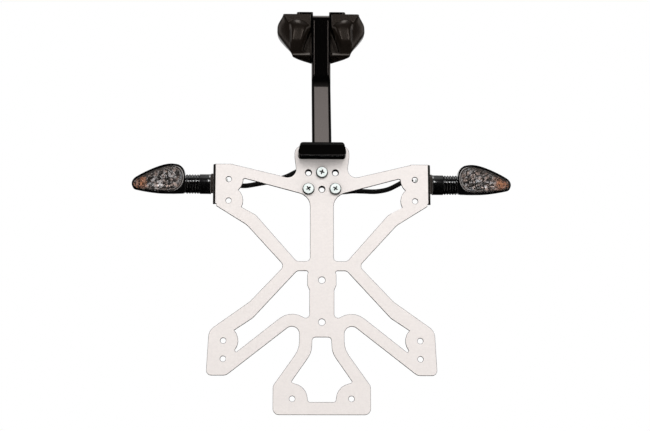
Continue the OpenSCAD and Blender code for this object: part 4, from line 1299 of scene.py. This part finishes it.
class TIDY_OT_stage(bpy.types.Operator):
    """Floor, background, lights and camera"""

    bl_idname = "tidy.stage"
    bl_label = "Stage"

    def execute(self, context):
        settings = context.scene.tidy.stage
        scene = context.scene
        if settings.floor:
            make_floor()
        make_world(scene)
        make_lights()
        make_camera(scene, settings)
        scene.view_settings.view_transform = "Standard"
        return {"FINISHED"}


FLOOR_HEIGHT = -0.62
FLOOR_REACH = 6.0
SENSOR_WIDTH = 36
VIEW_WIDTH = 0.65
VIEW_MIDDLE_X = 0.0031


def make_floor():
    """A pale floor under the hanging part, see-through from below."""
    f = Finish("pale_floor")
    grain = f.noise(4, 2)
    behind = f.node("ShaderNodeNewGeometry", output="Backfacing")
    values = {"Base Color": f.shade((0.8, 0.8, 0.8), 0.98 + grain * 0.04), "Roughness": 0.8}
    paint = f.node("ShaderNodeBsdfPrincipled", {}, values)
    clear = f.node("ShaderNodeBsdfTransparent")
    shown = f.node("ShaderNodeMixShader", {}, {0: behind, 1: paint, 2: clear})
    f.node("ShaderNodeOutputMaterial", {}, {"Surface": shown})
    mesh = bpy.data.meshes.new("floor")
    r, z = FLOOR_REACH, FLOOR_HEIGHT
    mesh.from_pydata([(-r, -r, z), (r, -r, z), (r, r, z), (-r, r, z)], [], [(0, 1, 2, 3)])
    floor = linked("floor", mesh)
    floor.data.materials.append(f.material)
    floor.visible_glossy = False


def make_world(scene):
    """A white room that is dark on the camera's side, as a studio is to a glossy surface."""
    world = bpy.data.worlds.new("soft_room")
    world.use_nodes = True
    scene.world = world
    w = Tree(world.node_tree)
    world.node_tree.nodes.clear()
    rays = world.node_tree.nodes.new("ShaderNodeLightPath").outputs
    direct = Term(w, rays["Is Camera Ray"]).math("MAXIMUM", Term(w, rays["Is Transmission Ray"]))
    glossy = Term(w, rays["Is Glossy Ray"])
    way = w.node("ShaderNodeTexCoord", output="Generated")
    back = w.node("ShaderNodeSeparateXYZ", {}, {0: way}, output="Y")
    height = w.node("ShaderNodeSeparateXYZ", {}, {0: way}, output="Z")
    overhead = height.ramp(0.75, 0.95) * 0.22
    room = (back.ramp(0.5, 0.95) * height.ramp(-0.15, 0.1)).math("MAXIMUM", overhead)
    soft = AMBIENT * (1.0 - glossy) + room * glossy
    strength = direct + (1.0 - direct) * soft
    sky = w.node("ShaderNodeBackground", {}, {"Color": (1, 1, 1), "Strength": strength})
    w.node("ShaderNodeOutputWorld", {}, {"Surface": sky})


def area_light(name, place, target, size, power):
    data = bpy.data.lights.new(name, "AREA")
    data.shape = "RECTANGLE"
    data.size, data.size_y = size
    data.energy = power
    lamp = linked(name, data)
    lamp.location = place
    lamp.rotation_euler = (Vector(target) - Vector(place)).to_track_quat("-Z", "Y").to_euler()
    return lamp


def make_lights():
    area_light("overhead", (0, -0.12, 1.3), (0, -0.119, -0.2), (0.3, 0.9), 2.7)
    for side, place in ((-1, -0.26), (1, 0.32)):
        area_light("stem_light", (place, -1.42, 0.53), (side * 0.12, -0.08, -0.2), (0.14, 0.42), 1.6)
        area_light("side_light", (side * 1.5, -0.05, 0.4), (0, -0.05, -0.05), (1.2, 0.6), 3)
    fill = area_light("front_fill", (0.2, -2.2, 0.5), (0, -0.08, -0.25), (1.6, 1.2), 20.3)
    fill.visible_glossy = False


def make_camera(scene, settings):
    data = bpy.data.cameras.new("camera")
    data.sensor_width = SENSOR_WIDTH
    data.lens = SENSOR_WIDTH * settings.distance / VIEW_WIDTH
    target = Vector((VIEW_MIDDLE_X, BRACKET_Y, SETTING_OUT_Z))
    tilt, turn = settings.elevation, settings.azimuth
    away = Vector((math.sin(turn) * math.cos(tilt), -math.cos(turn) * math.cos(tilt), math.sin(tilt)))
    camera = linked("camera", data)
    camera.location = target + away * settings.distance
    camera.rotation_euler = (-away).to_track_quat("-Z", "Y").to_euler()
    scene.camera = camera


class TIDY_PT_panel(bpy.types.Panel):
    """Lists the steps and their settings"""

    bl_idname = "TIDY_PT_panel"
    bl_label = "Tail tidy"
    bl_space_type = "VIEW_3D"
    bl_region_type = "UI"
    bl_category = "Tail tidy"

    def draw(self, context):
        layout = self.layout
        tidy = context.scene.tidy
        for group in (tidy.sheet, tidy.indicator, tidy.cover, tidy.stage):
            box = layout.box()
            for key in group.bl_rna.properties.keys():
                if key not in ("rna_type", "name"):
                    box.prop(group, key)
        for step in STEPS:
            layout.operator(step.bl_idname)


SETTINGS = (SheetSettings, IndicatorSettings, CoverSettings, StageSettings, TidySettings)
STEPS = (
    TIDY_OT_bracket,
    TIDY_OT_arm,
    TIDY_OT_cover,
    TIDY_OT_lamp,
    TIDY_OT_screws,
    TIDY_OT_indicators,
    TIDY_OT_stems,
    TIDY_OT_leads,
    TIDY_OT_stage,
)


def register():
    for item in (*SETTINGS, *STEPS, TIDY_PT_panel):
        bpy.utils.register_class(item)
    bpy.types.Scene.tidy = PointerProperty(type=TidySettings)


def unregister():
    del bpy.types.Scene.tidy
    for item in (TIDY_PT_panel, *STEPS[::-1], *SETTINGS[::-1]):
        bpy.utils.unregister_class(item)


def main():
    register()
    for step in STEPS:
        group, name = step.bl_idname.split(".")
        getattr(getattr(bpy.ops, group), name)()


if __name__ == "__main__":
    main()
